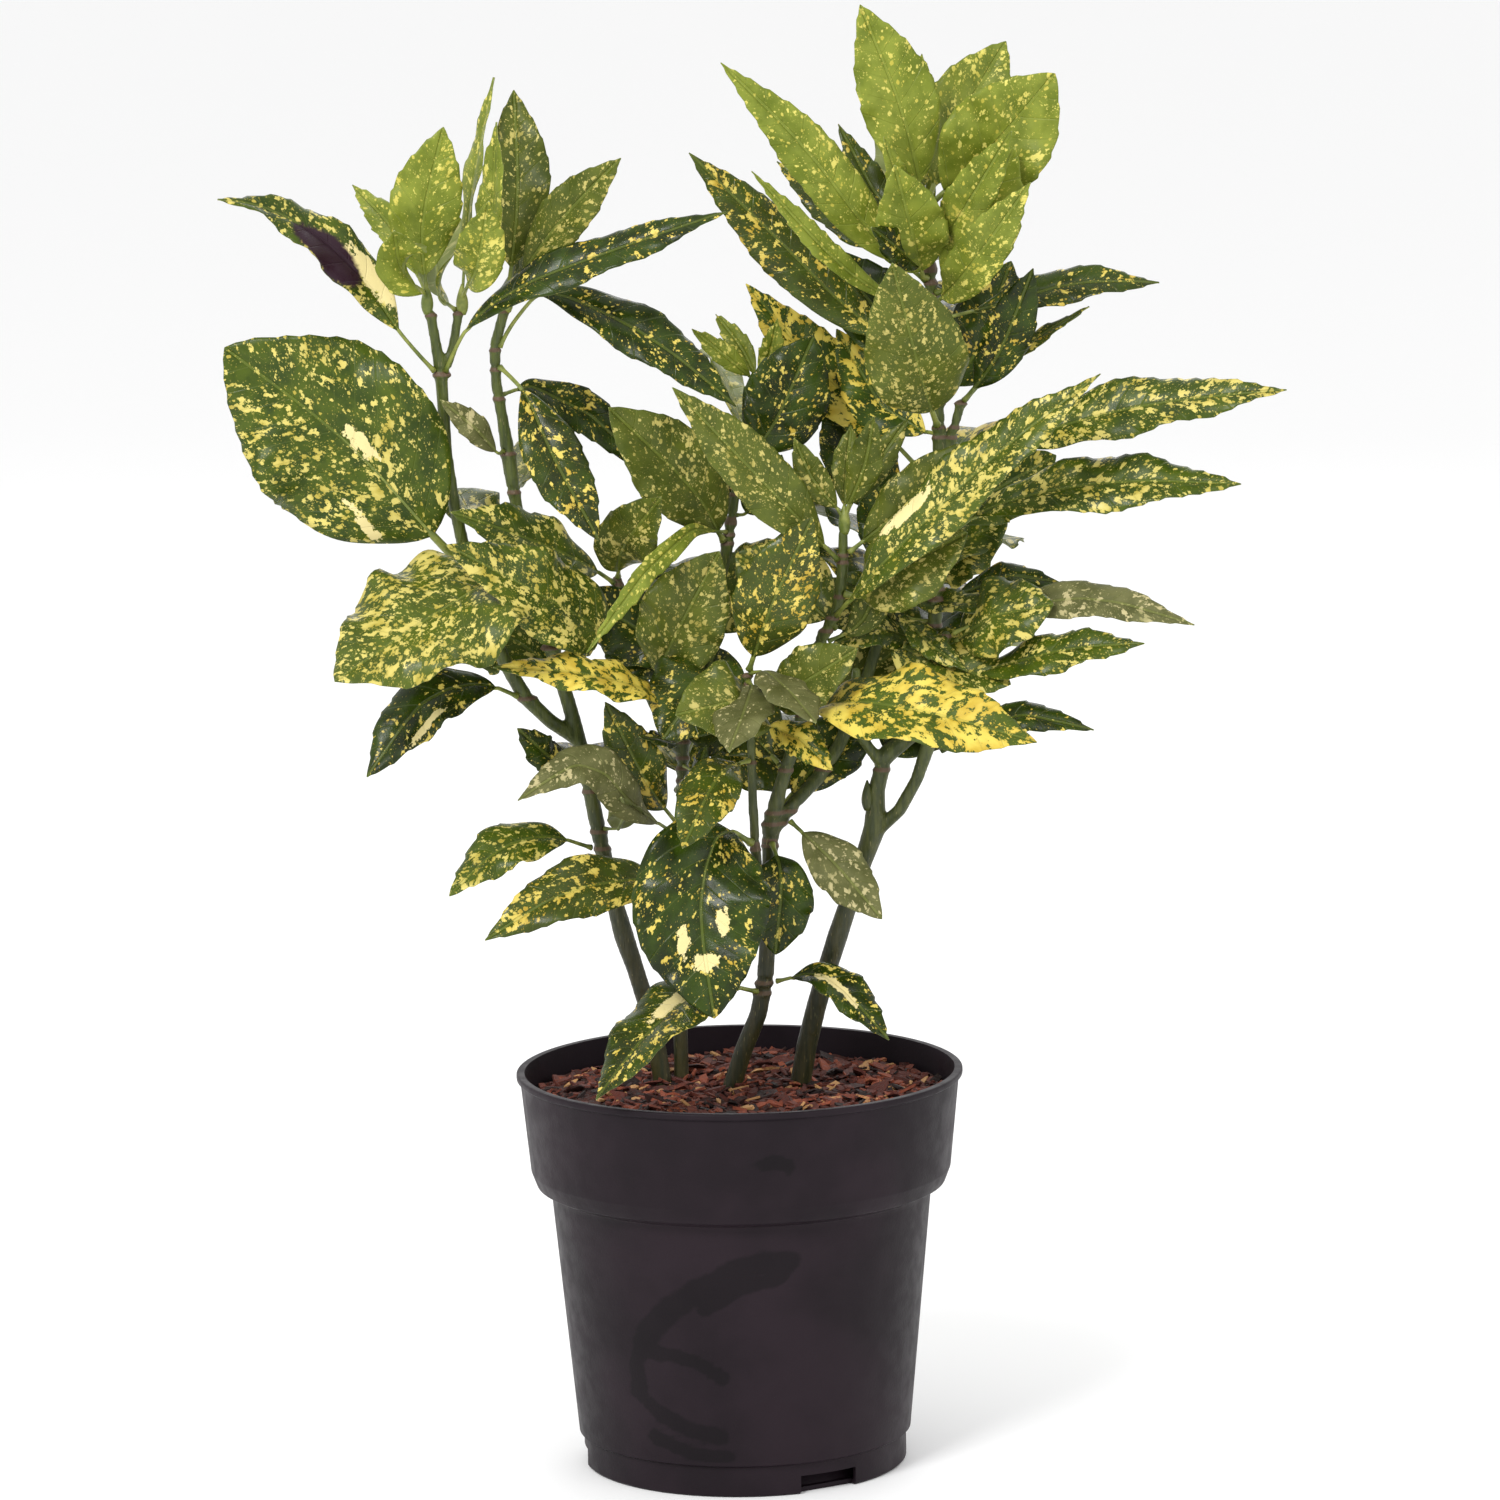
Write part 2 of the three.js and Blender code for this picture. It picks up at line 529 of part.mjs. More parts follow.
      path: [[98, 38, 388], [126, 86, 384]], face: [0, -0.3, 1] },
    { name: "leaf_low_grey", kind: "pale", from: ["right_low", 356], width: 18, petiole: 12,
      path: [[114, -18, 367], [150, -32, 374], [192, -45, 364]], face: [0, -0.7, 0.7] },
    { name: "leaf_low_pale", kind: "dusted", from: ["right_low", 338], width: 20, petiole: 12,
      path: [[112, -26, 345], [140, -40, 354], [171, -48, 357]], face: [0, -0.7, 0.7] },
  ],
};

const CLUSTERS = [
  { name: "shoot_tip_left", kind: "young", from: "left_outer", leaves: [
    { path: [[-126, -22, 532], [-116, -26, 574]], width: 28, face: [0.1, -1, 0.1] },
    { path: [[-134, -36, 515], [-136, -56, 534]], width: 24, face: [0, -0.8, 0.6] },
    { path: [[-140, 18, 528], [-158, 44, 545]], width: 14, face: [0, -0.7, 0.7] },
  ] },
  { name: "shoot_tip_left_mid", kind: "young", from: "left_tip", leaves: [
    { path: [[-106, 2, 545], [-96, 8, 592]], width: 15, face: [-0.9, -0.4, 0] },
    { path: [[-98, -22, 532], [-94, -30, 576]], width: 15, face: [-0.7, -0.7, 0.1] },
    { path: [[-104, -30, 514], [-97, -52, 545]], width: 20, face: [0.1, -0.9, 0.4] },
  ] },
  { name: "shoot_tip_left_inner", kind: "olive", from: "left", leaves: [
    { path: [[-87, 6, 542], [-88, 16, 586]], width: 26, face: [0, -1, 0.1] },
    { path: [[-70, -12, 532], [-43, -26, 560]], width: 20, face: [0.1, -0.95, 0.3] },
    { path: [[-74, 28, 524], [-66, 58, 546]], width: 20, face: [0, -0.5, 0.8] },
  ] },
  { name: "shoot_tip_back", kind: "young", from: "back", leaves: [
    { path: [[0, 14, 472], [-15, 10, 485]], width: 9, petiole: 5, face: [0, -1, 0.3] },
    { path: [[6, 30, 474], [-5, 40, 488]], width: 9, petiole: 5, face: [0, -1, 0.3] },
    { path: [[18, 20, 474], [21, 16, 488]], width: 9, petiole: 5, face: [0, -1, 0.3] },
  ] },
  { name: "shoot_tip_centre", kind: "olive", from: "centre", leaves: [
    { path: [[35, -24, 424], [27, -32, 443]], width: 13, petiole: 5, face: [0, -1, 0.3] },
    { path: [[49, -10, 428], [51, -6, 445]], width: 12, petiole: 5, face: [0, -1, 0.1] },
    { path: [[56, -26, 430], [60, -36, 452]], width: 14, petiole: 5, face: [0, -1, 0.2] },
    { path: [[62, -12, 430], [75, -10, 448]], width: 12, petiole: 5, face: [0, -1, 0.3] },
  ] },
  { name: "shoot_tip_right", kind: "young", from: "right", leaves: [
    { path: [[74, -8, 576], [57, -14, 621]], width: 31, face: [0.1, -1, 0.1] },
    { path: [[96, 20, 565], [119, 34, 602]], width: 32, face: [0.1, -1, 0.2] },
    { path: [[108, -12, 558], [137, -24, 592]], width: 42, face: [0.1, -1, 0.2] },
    { path: [[82, 30, 562], [84, 52, 596]], width: 18, face: [0, -0.9, 0.4] },
  ] },
];

// ---- Assembly --------------------------------------------------------------------------------
addPiece("pot", toGeometry(makePot()), "pot");

const sockets = ["left", "back", "centre", "right"].map((name) => shootSolid(name, GAP));
addPiece("potting_mix", toGeometry(makeMix(sockets)), "mix");

for (const [name, shoots] of Object.entries(PLANTS)) {
  const [trunk, ...branches] = shoots.map((shoot) => shootSolid(shoot));
  const whole = branches.reduce((sum, branch) => sum.add(branch), trunk);
  addPiece(name, toGeometry(whole), "stem");
}

for (const leaf of Object.values(LEAVES).flat()) addPiece(leaf.name, singleLeaf(leaf), leaf.kind);

for (const cluster of CLUSTERS) addPiece(cluster.name, toGeometry(tipCluster(cluster)), cluster.kind);

export default plant;
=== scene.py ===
"""A gold-spotted Japanese laurel in its nursery pot. Lengths are millimetres until a mesh is made."""

import json
import math
import zlib

import bmesh
import bpy
import numpy as np
from mathutils import Matrix, Vector
from mathutils.bvhtree import BVHTree


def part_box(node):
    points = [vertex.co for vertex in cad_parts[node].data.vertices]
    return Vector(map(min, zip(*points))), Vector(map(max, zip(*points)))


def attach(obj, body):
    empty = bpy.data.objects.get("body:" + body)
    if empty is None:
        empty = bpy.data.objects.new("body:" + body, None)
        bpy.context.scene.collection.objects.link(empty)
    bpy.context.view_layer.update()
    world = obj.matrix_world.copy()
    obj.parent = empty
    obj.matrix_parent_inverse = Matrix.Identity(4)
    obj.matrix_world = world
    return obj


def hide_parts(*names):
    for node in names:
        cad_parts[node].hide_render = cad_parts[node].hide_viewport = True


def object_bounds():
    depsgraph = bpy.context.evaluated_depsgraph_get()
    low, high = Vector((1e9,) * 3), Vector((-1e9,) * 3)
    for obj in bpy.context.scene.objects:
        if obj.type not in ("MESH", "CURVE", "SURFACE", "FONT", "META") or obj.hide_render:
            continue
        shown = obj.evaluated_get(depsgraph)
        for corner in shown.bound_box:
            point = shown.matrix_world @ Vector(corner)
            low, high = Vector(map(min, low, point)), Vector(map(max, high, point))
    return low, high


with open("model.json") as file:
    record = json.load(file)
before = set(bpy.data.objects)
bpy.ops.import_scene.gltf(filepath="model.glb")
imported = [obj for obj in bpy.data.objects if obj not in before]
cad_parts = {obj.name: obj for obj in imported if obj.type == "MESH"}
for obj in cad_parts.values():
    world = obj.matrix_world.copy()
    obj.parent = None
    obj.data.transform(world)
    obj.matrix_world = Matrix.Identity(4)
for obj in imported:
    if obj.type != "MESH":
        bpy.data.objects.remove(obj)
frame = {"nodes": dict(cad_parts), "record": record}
CAD_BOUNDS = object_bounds()
MM = 0.001
ROOT = "root"
SLOTS = {s["node"]: s["material_slot"] for s in frame["record"]["subparts"]}
STEMS = sorted(n for n in frame["nodes"] if n.startswith("stem_"))
LEAF_NODES = sorted(n for n in frame["nodes"] if n.startswith("leaf_"))
CLUSTER_NODES = sorted(n for n in frame["nodes"] if n.startswith("shoot_tip"))


def rng_for(name):
    return np.random.default_rng(zlib.crc32(name.encode()))


# ---- Camera, light and floor -------------------------------------------------------------------
def set_camera():
    data = bpy.data.cameras.new("camera")
    data.sensor_width = 36.0
    data.lens = 172.5
    camera = bpy.data.objects.new("camera", data)
    pitch = Matrix.Rotation(math.radians(90 - 9.164), 4, "X")
    roll = Matrix.Rotation(math.radians(-0.9), 4, "Z")
    camera.matrix_world = Matrix.Translation((0.0066, -3.0, 0.791)) @ pitch @ roll
    bpy.context.collection.objects.link(camera)
    bpy.context.scene.camera = camera


def area_light(name, place, size, watts):
    data = bpy.data.lights.new(name, "AREA")
    data.size = size
    data.energy = watts
    light = bpy.data.objects.new(name, data)
    light.location = place
    light.rotation_euler = (Vector((0, 0, 0.3)) - Vector(place)).to_track_quat("-Z", "Y").to_euler()
    bpy.context.collection.objects.link(light)


def set_light_and_floor():
    world = bpy.data.worlds.new("studio")
    world.use_nodes = True
    world.node_tree.nodes["Background"].inputs["Color"].default_value = (1, 1, 1, 1)
    world.node_tree.nodes["Background"].inputs["Strength"].default_value = 1.0
    bpy.context.scene.world = world
    bpy.context.scene.view_settings.view_transform = "Standard"
    area_light("key", (-1.3, -2.2, 2.3), 0.9, 60)
    area_light("fill", (1.9, -1.8, 1.2), 1.6, 9)
    area_light("back", (0.4, 2.2, 2.0), 1.4, 12)
    mesh = bpy.data.meshes.new("floor")
    half = 60.0
    mesh.from_pydata([(-half, -half, 0), (half, -half, 0), (half, half, 0), (-half, half, 0)], [],
                     [(0, 1, 2, 3)])
    floor = bpy.data.objects.new("floor", mesh)
    floor.location.z = CAD_BOUNDS[0][2]
    bpy.context.collection.objects.link(floor)
    paint = Graph("floor_paint")
    paint.set("Base Color", (0.93, 0.93, 0.93, 1))
    paint.set("Roughness", 0.8)
    mesh.materials.append(paint.material)


# ---- Node graphs -------------------------------------------------------------------------------
class Graph:
    """A material's node tree, with short calls for the nodes used here."""

    def __init__(self, name):
        self.material = bpy.data.materials.new(name)
        self.material.use_nodes = True
        self.tree = self.material.node_tree
        self.shader = self.tree.nodes["Principled BSDF"]

    def put(self, socket, value):
        if isinstance(value, bpy.types.NodeSocket):
            self.tree.links.new(value, socket)
        else:
            socket.default_value = value

    def set(self, name, value):
        self.put(self.shader.inputs[name], value)

    def node(self, kind):
        return self.tree.nodes.new("ShaderNode" + kind)

    def math(self, operation, a, b=0.0):
        node = self.node("Math")
        node.operation = operation
        self.put(node.inputs[0], a)
        self.put(node.inputs[1], b)
        return node.outputs[0]

    def vector(self, x, y, z):
        node = self.node("CombineXYZ")
        for socket, value in zip(node.inputs, (x, y, z)):
            self.put(socket, value)
        return node.outputs[0]

    def attribute(self, name):
        node = self.node("Attribute")
        node.attribute_name = name
        split = self.node("SeparateXYZ")
        self.put(split.inputs[0], node.outputs["Vector"])
        return split.outputs[0], split.outputs[1], split.outputs[2]

    def value(self, name):
        node = self.node("Attribute")
        node.attribute_name = name
        return node.outputs["Fac"]

    def noise(self, vector, scale, detail=3.0, roughness=0.55):
        node = self.node("TexNoise")
        self.put(node.inputs["Vector"], vector)
        self.put(node.inputs["Scale"], scale)
        self.put(node.inputs["Detail"], detail)
        self.put(node.inputs["Roughness"], roughness)
        return node.outputs["Fac"]

    def dots(self, vector, scale, reach):
        """Above 0 inside scattered ragged dots: one to a cell, of random size, reach at most."""
        cells = self.node("TexVoronoi")
        bend = self.node("VectorMath")
        bend.operation = "MULTIPLY_ADD"
        ragged = self.node("TexNoise")
        self.put(ragged.inputs["Vector"], vector)
        self.put(ragged.inputs["Scale"], 3 * scale)
        self.put(bend.inputs[0], ragged.outputs["Color"])
        self.put(bend.inputs[1], (1.3, 1.3, 1.3))
        self.put(bend.inputs[2], vector)
        self.put(cells.inputs["Vector"], bend.outputs[0])
        self.put(cells.inputs["Scale"], scale)
        size = self.node("SeparateColor")
        self.put(size.inputs[0], cells.outputs["Color"])
        return self.math("SUBTRACT", self.math("MULTIPLY", size.outputs[0], reach), cells.outputs["Distance"])

    def step(self, value, low, high, start=0.0, end=1.0):
        node = self.node("MapRange")
        node.interpolation_type = "SMOOTHSTEP"
        for socket, given in zip(node.inputs, (value, low, high, start, end)):
            self.put(socket, given)
        return node.outputs[0]

    def mix(self, share, a, b):
        node = self.node("Mix")
        node.data_type = "RGBA"
        self.put(node.inputs[0], share)
        self.put(node.inputs[6], a)
        self.put(node.inputs[7], b)
        return node.outputs[2]

    def bump(self, height, distance_mm, strength=1.0):
        node = self.node("Bump")
        self.put(node.inputs["Height"], height)
        self.put(node.inputs["Distance"], distance_mm * MM)
        self.put(node.inputs["Strength"], strength)
        self.set("Normal", node.outputs[0])

    def place_mm(self):
        node = self.node("TexCoord")
        scale = self.node("VectorMath")
        scale.operation = "SCALE"
        self.put(scale.inputs[0], node.outputs["Object"])
        self.put(scale.inputs["Scale"], 1 / MM)
        return scale.outputs[0]


def rgb(text):
    """A linear colour from an sRGB hex code."""
    parts = [int(text[i : i + 2], 16) / 255 for i in (0, 2, 4)]
    return tuple(p / 12.92 if p < 0.04 else ((p + 0.055) / 1.055) ** 2.4 for p in parts) + (1.0,)


# ---- Leaf materials ----------------------------------------------------------------------------
# Greens dark and light, spots gold and cream, the noise level above which a blotch shows, the reach
# of the round dots, how unevenly both gather, and the roughness.
LEAF_LOOKS = {
    "leaf_dark": ("192304", "304107", "b0922e", "d2be5c", 0.60, 0.33, 0.26, 0.26),
    "leaf_dusted": ("2a3b08", "46550e", "ab9b3e", "cdbf68", 0.56, 0.44, 0.22, 0.32),
    "leaf_golden": ("273a08", "42540c", "bfa236", "d9c456", 0.50, 0.42, 0.34, 0.38),
    "leaf_olive": ("39440b", "545c18", "9a9044", "beb266", 0.61, 0.42, 0.22, 0.38),
    "leaf_young": ("5e6b18", "808a30", "b5aa42", "d0c664", 0.61, 0.42, 0.24, 0.40),
    "leaf_pale": ("4e5028", "6a6a40", "928d5c", "baaf80", 0.60, 0.36, 0.26, 0.58),
}
VEIN_PITCH = 11.0  # from one side vein to the next
SIDE_LEAN = 0.8  # mm forward for each mm that a side vein runs outwards


def leaf_places(graph):
    """Where a point is on its leaf: along and across it, and swept forward as the side veins run."""
    along, across, seed = graph.attribute("leaf")
    off = graph.math("ABSOLUTE", across)
    swept = graph.math("SUBTRACT", along, graph.math("MULTIPLY", off, SIDE_LEAN))
    return along, across, off, swept, seed


def vein_mask(graph, swept, off):
    turn = graph.math("FRACT", graph.math("DIVIDE", swept, VEIN_PITCH))
    near = graph.math("ABSOLUTE", graph.math("SUBTRACT", turn, 0.5))
    side = graph.step(near, 0.05, 0.0)
    middle = graph.step(off, 1.0, 0.4)
    return graph.math("MAXIMUM", graph.math("MULTIPLY", side, 0.45), middle), near


def upper_material(slot):
    dark, light, gold, cream, large, small, gather, rough = LEAF_LOOKS[slot]
    graph = Graph(slot + "_upper")
    along, across, off, swept, seed = leaf_places(graph)
    flat = graph.vector(along, across, seed)
    leaned = graph.math("SUBTRACT", along, graph.math("MULTIPLY", off, 0.35))
    veined = graph.vector(leaned, graph.math("MULTIPLY", across, 1.15), seed)
    # One random number for each leaf: it shifts how many spots show, and mixes some leaves towards a paler
    # olive, which is partly leaf-to-leaf tone and partly painted light, for leaves that look lit.
    spots_and_painted_light = graph.math("FRACT", graph.math("MULTIPLY", seed, 0.173))  # from leaf to leaf
    gathering = graph.noise(flat, 0.05, 1.0)
    shift = graph.math("MULTIPLY", graph.math("SUBTRACT", gathering, 0.5), gather)
    shift = graph.math("ADD", shift, graph.math("MULTIPLY", graph.math("SUBTRACT", spots_and_painted_light, 0.5), 0.045))
    blotch = graph.math("ADD", graph.noise(veined, 0.24, 5.0, 0.6), shift)
    dots = graph.math("ADD", graph.dots(veined, 0.36, small), graph.math("MULTIPLY", shift, 1.4))
    specks = graph.math("ADD", graph.dots(veined, 0.95, small), graph.math("MULTIPLY", shift, 1.4))
    spots = graph.step(blotch, large, large + 0.02)
    spots = graph.math("MAXIMUM", spots, graph.step(dots, 0.0, 0.07, 0, 0.92))
    spots = graph.math("MAXIMUM", spots, graph.step(specks, 0.02, 0.12, 0, 0.75))
    green = graph.mix(graph.step(graph.noise(flat, 0.09, 3.0), 0.3, 0.7), rgb(dark), rgb(light))
    # Painted light in part: up to a quarter paler olive on some leaves at random, as if those leaves were lit
    # more.
    green = graph.mix(graph.step(spots_and_painted_light, 0.35, 1.0, 0.0, 0.24), green, rgb("66702c"))
    yellow = graph.mix(graph.step(graph.noise(veined, 0.12, 2.0), 0.35, 0.65), rgb(gold), rgb(cream))
    veins, near = vein_mask(graph, swept, off)
    color = graph.mix(spots, green, yellow)
    color = graph.mix(graph.math("MULTIPLY", veins, 0.26), color, rgb("7f8a3c"))
    patch = graph.value("cream")
    ragged = graph.math("ADD", patch, graph.math("MULTIPLY", graph.noise(veined, 0.22, 5.0, 0.7), 0.9))
    color = graph.mix(graph.step(ragged, 1.02, 1.06), color, rgb("dfcf92"))
    scorch = graph.math("ADD", graph.value("scorch"), graph.math("MULTIPLY", graph.noise(flat, 0.3), 0.2))
    color = graph.mix(graph.step(scorch, 0.5, 0.62), color, rgb("2a1420"))
    graph.set("Base Color", color)
    fine = graph.noise(flat, 1.6, 2.0)
    graph.set("Roughness", graph.step(graph.noise(flat, 0.13, 3.0), 0.3, 0.7, rough - 0.06, rough + 0.1))
    graph.set("Specular IOR Level", 0.22)
    height = graph.math("ADD", graph.math("MULTIPLY", veins, -1.0), graph.math("MULTIPLY", fine, 0.25))
    height = graph.math("ADD", height, graph.math("MULTIPLY", graph.step(near, 0.0, 0.5), 0.8))
    graph.bump(height, 0.35)
    return graph.material


def under_material(slot):
    light = LEAF_LOOKS[slot][1]
    graph = Graph(slot + "_under")
    along, across, off, swept, seed = leaf_places(graph)
    flat = graph.vector(along, across, seed)
    green = graph.mix(graph.step(graph.noise(flat, 0.1, 3.0), 0.3, 0.7), rgb("58622c"), rgb("757c46"))
    green = graph.mix(0.25, green, rgb(light))
    blotch = graph.noise(graph.vector(swept, graph.math("MULTIPLY", across, 0.5), seed), 0.16, 3.0)
    color = graph.mix(graph.step(blotch, 0.56, 0.64, 0.0, 0.55), green, rgb("b0a870"))
    veins, near = vein_mask(graph, swept, off)
    graph.set("Base Color", graph.mix(graph.math("MULTIPLY", veins, 0.6), color, rgb("a3aa6c")))
    graph.set("Roughness", graph.step(near, 0.0, 0.5, 0.5, 0.62))
    graph.bump(graph.math("ADD", veins, graph.math("MULTIPLY", graph.noise(flat, 1.2), 0.3)), 0.4)
    return graph.material


def stalk_material():
    graph = Graph("leaf_stalk")
    place = graph.place_mm()
    tone = graph.step(graph.noise(place, 0.12), 0.35, 0.65)
    graph.set("Base Color", graph.mix(tone, rgb("566420"), rgb("8a9040")))
    graph.set("Roughness", graph.step(graph.noise(place, 0.5), 0.3, 0.7, 0.38, 0.5))
    graph.bump(graph.noise(place, 1.5), 0.15)
    return graph.material


# ---- Leaf shapes read from the frame -----------------------------------------------------------
def welded(node):
    """A CAD node's corner places in mm, and each corner's neighbours."""
    mesh = frame["nodes"][node].data
    points = np.array([tuple(v.co) for v in mesh.vertices]) / MM
    keys = {}
    index = [keys.setdefault(tuple(np.round(p, 2)), len(keys)) for p in points]
    places = np.array(list(keys))
    beside = [set() for _ in keys]
    for polygon in mesh.polygons:
        corners = [index[v] for v in polygon.vertices]
        for a, b in zip(corners, corners[1:] + corners[:1]):
            if a != b:
                beside[a].add(b)
                beside[b].add(a)
    return places, beside


def rings_from(apex, beside):
    """The four-cornered sections met on a walk from one pointed end, and what comes after them."""
    seen = {apex}
    level = set(beside[apex])
    rings = []
    while len(level) == 4:
        rings.append(sorted(level))
        seen |= level
        level = set().union(*(beside[v] for v in level)) - seen
    return rings, level


def sections_of(rings, places, beside):
    """Each section's midrib point and its vector from edge to edge."""
    widest = max(range(len(rings)), key=lambda k: np.ptp(places[rings[k]], axis=0).max())
    found = [None] * len(rings)
    order = [widest, *range(widest + 1, len(rings)), *range(widest - 1, -1, -1)]
    for k in order:
        ring = rings[k]
        other = [v for v in ring[1:] if v not in beside[ring[0]]]
        first = (ring[0], other[0] if other else ring[2])
        second = tuple(v for v in ring if v not in first)
        pairs = [first, second]
        spans = [places[b] - places[a] for a, b in pairs]
        if k == widest:
            pick = int(np.linalg.norm(spans[1]) > np.linalg.norm(spans[0]))
            span = spans[pick]
        else:
            guide = found[k + (1 if k < widest else -1)][1]
            pull = [abs(np.dot(s, guide)) for s in spans]
            pick = int(pull[1] > pull[0])
            span = spans[pick] * (1 if np.dot(spans[pick], guide) > 0 else -1)
        edges, ribs = pairs[pick], pairs[1 - pick]
        middle = places[list(ribs)].mean(0)
        raised = places[list(edges)].mean(0) - middle
        found[k] = (middle, span, raised)
    return found, widest


STEM_TREES = {n: BVHTree.FromObject(frame["nodes"][n], bpy.context.evaluated_depsgraph_get()) for n in STEMS}


def to_stem(place):
    """The nearest point on a stem, and how far it is."""
    hits = [tree.find_nearest(Vector(place) * MM) for tree in STEM_TREES.values()]
    best = min(hits, key=lambda hit: hit[3])
    return np.array(best[0]) / MM, best[3] / MM


BLADE_RINGS = 6  # sections of a solid's blade, after the one on its stalk
END_WIDTH = 2.0  # mm
FULLER = 1.1  # a blade against its solid, whose few corners lie inside the real outline


class Leaf:
    """One leaf's bend: midrib points from the stem to the tip, edge-to-edge vectors at them, and
    how far from the stem its blade starts."""

    def __init__(self, points, spans, blade_from):
        self.points = np.array(points)
        self.spans = np.array(spans)
        steps = np.linalg.norm(np.diff(self.points, axis=0), axis=1)
        self.marks = np.concatenate([[0], np.cumsum(steps)])
        self.length = self.marks[-1]
        self.half = FULLER * np.linalg.norm(self.spans, axis=1).max() / 2
        self.blade_from = blade_from

    def walk(self, count):
        """Even steps from the stem to the tip: marks, places, sides and normals."""
        at = np.linspace(0, self.length, count)
        middle = np.stack([np.interp(at, self.marks, self.points[:, i]) for i in range(3)], 1)
        side = np.stack([np.interp(at, self.marks, self.spans[:, i]) for i in range(3)], 1)
        for _ in range(6):
            middle[1:-1] = (middle[:-2] + 2 * middle[1:-1] + middle[2:]) / 4
            side[1:-1] = (side[:-2] + 2 * side[1:-1] + side[2:]) / 4
        tangent = np.gradient(middle, axis=0)
        tangent /= np.linalg.norm(tangent, axis=1)[:, None]
        side -= tangent * (side * tangent).sum(1)[:, None]
        side /= np.linalg.norm(side, axis=1)[:, None]
        return at, middle, side, np.cross(side, tangent)


def leaf_from_rings(rings, places, beside, base, tip):
    sections, widest = sections_of(rings, places, beside)
    sections = sections[::-1]  # now from the stem to the tip
    raised = sections[len(rings) - 1 - widest]
    along = tip - base
    side_first = raised[1]
    if np.dot(np.cross(side_first, along), raised[2]) < 0:
        sections = [(m, -s, r) for m, s, r in sections]
    points = [base, *(m for m, _, _ in sections), tip]
    spans = [sections[0][1], *(s for _, s, _ in sections), sections[-1][1]]
    marks = np.concatenate([[0], np.cumsum(np.linalg.norm(np.diff(points, axis=0), axis=1))])
    whole = len(rings) > BLADE_RINGS
    start = marks[-1 - BLADE_RINGS] if whole else 0.15 * marks[-1]
    for end in (0, -1):
        spans[end] = spans[end] / np.linalg.norm(spans[end]) * END_WIDTH
    return Leaf(points, spans, start)


def single_leaf(node):
    places, beside = welded(node)
    ends = [v for v in range(len(places)) if len(beside[v]) == 4]
    base = min(ends, key=lambda v: to_stem(places[v])[1])
    tip = max(ends, key=lambda v: np.linalg.norm(places[v] - places[base]))
    rings, _ = rings_from(tip, beside)
    return leaf_from_rings(rings, places, beside, places[base], places[tip])


def cluster_leaves(node):
    """The leaves of a shoot tip, and the middle of the bud that they grow from."""
    places, beside = welded(node)
    ends = [v for v in range(len(places)) if len(beside[v]) == 4]
    walks = [(v, rings_from(v, beside)[0]) for v in ends]
    walks = [(v, rings) for v, rings in walks if len(rings) >= 4]
    claimed = {v for end, rings in walks for v in [end, *sum(rings, [])]}
    rest = np.array([p for i, p in enumerate(places) if i not in claimed])
    bud = rest.mean(0)
    bud = min(rest, key=lambda p: to_stem(p)[1]) * 0.6 + bud * 0.4
    leaves = []
    for end, rings in walks:
        keep = [ring for ring in rings if np.linalg.norm(places[ring].mean(0) - bud) > 5]
        leaves.append(leaf_from_rings(keep, places, beside, bud, places[end]))
    return leaves, bud


def drawn_leaf(path, width, face, stalk=8):
    """A small leaf whose midrib passes the given points; it starts on the nearest stem."""
    first = np.array(path[0], float)
    base, _ = to_stem(first)
    points = [base, *map(np.array, path)]
    up = np.array(face, float)
    spans = []
    for k in range(len(points)):
        tangent = points[min(k + 1, len(points) - 1)] - points[max(k - 1, 0)]
        side = np.cross(tangent, up)
        spans.append(side / np.linalg.norm(side) * width)
    return Leaf(points, spans, stalk)


# ---- Leaf meshes -------------------------------------------------------------------------------
ALONG = 58
ACROSS = 8  # to each side
TOOTH_PITCH = 8.5
MIDRIB_SHARE = 0.86  # of the leaf's length, from the stem
RIM_THICKNESS, EXTRA_THICKNESS = 0.16, 0.5  # mm, at the blade's rim and added at its midrib


def outline(share, rng, length, width, teeth):
    """Half width from 0 to 1 along the blade, with coarse teeth towards the tip."""
    peak = rng.uniform(0.86, 1.0)
    fullness = 0.98 - 0.42 * min(width / length, 1.0)  # a broad leaf is rounder than a narrow one
    body = np.sin(np.pi * np.clip(share, 0, 1) ** peak) ** fullness * (1 - 0.22 * share**7)
    count = max(5, round(length / TOOTH_PITCH))
    phase = (share * count + rng.uniform(0, 1)) % 1.0
    shown = np.clip((share - 0.28) / 0.2, 0, 1) * np.clip((1 - share) / 0.06, 0, 1)
    return body + teeth * shown * (phase**1.3 - 0.4)


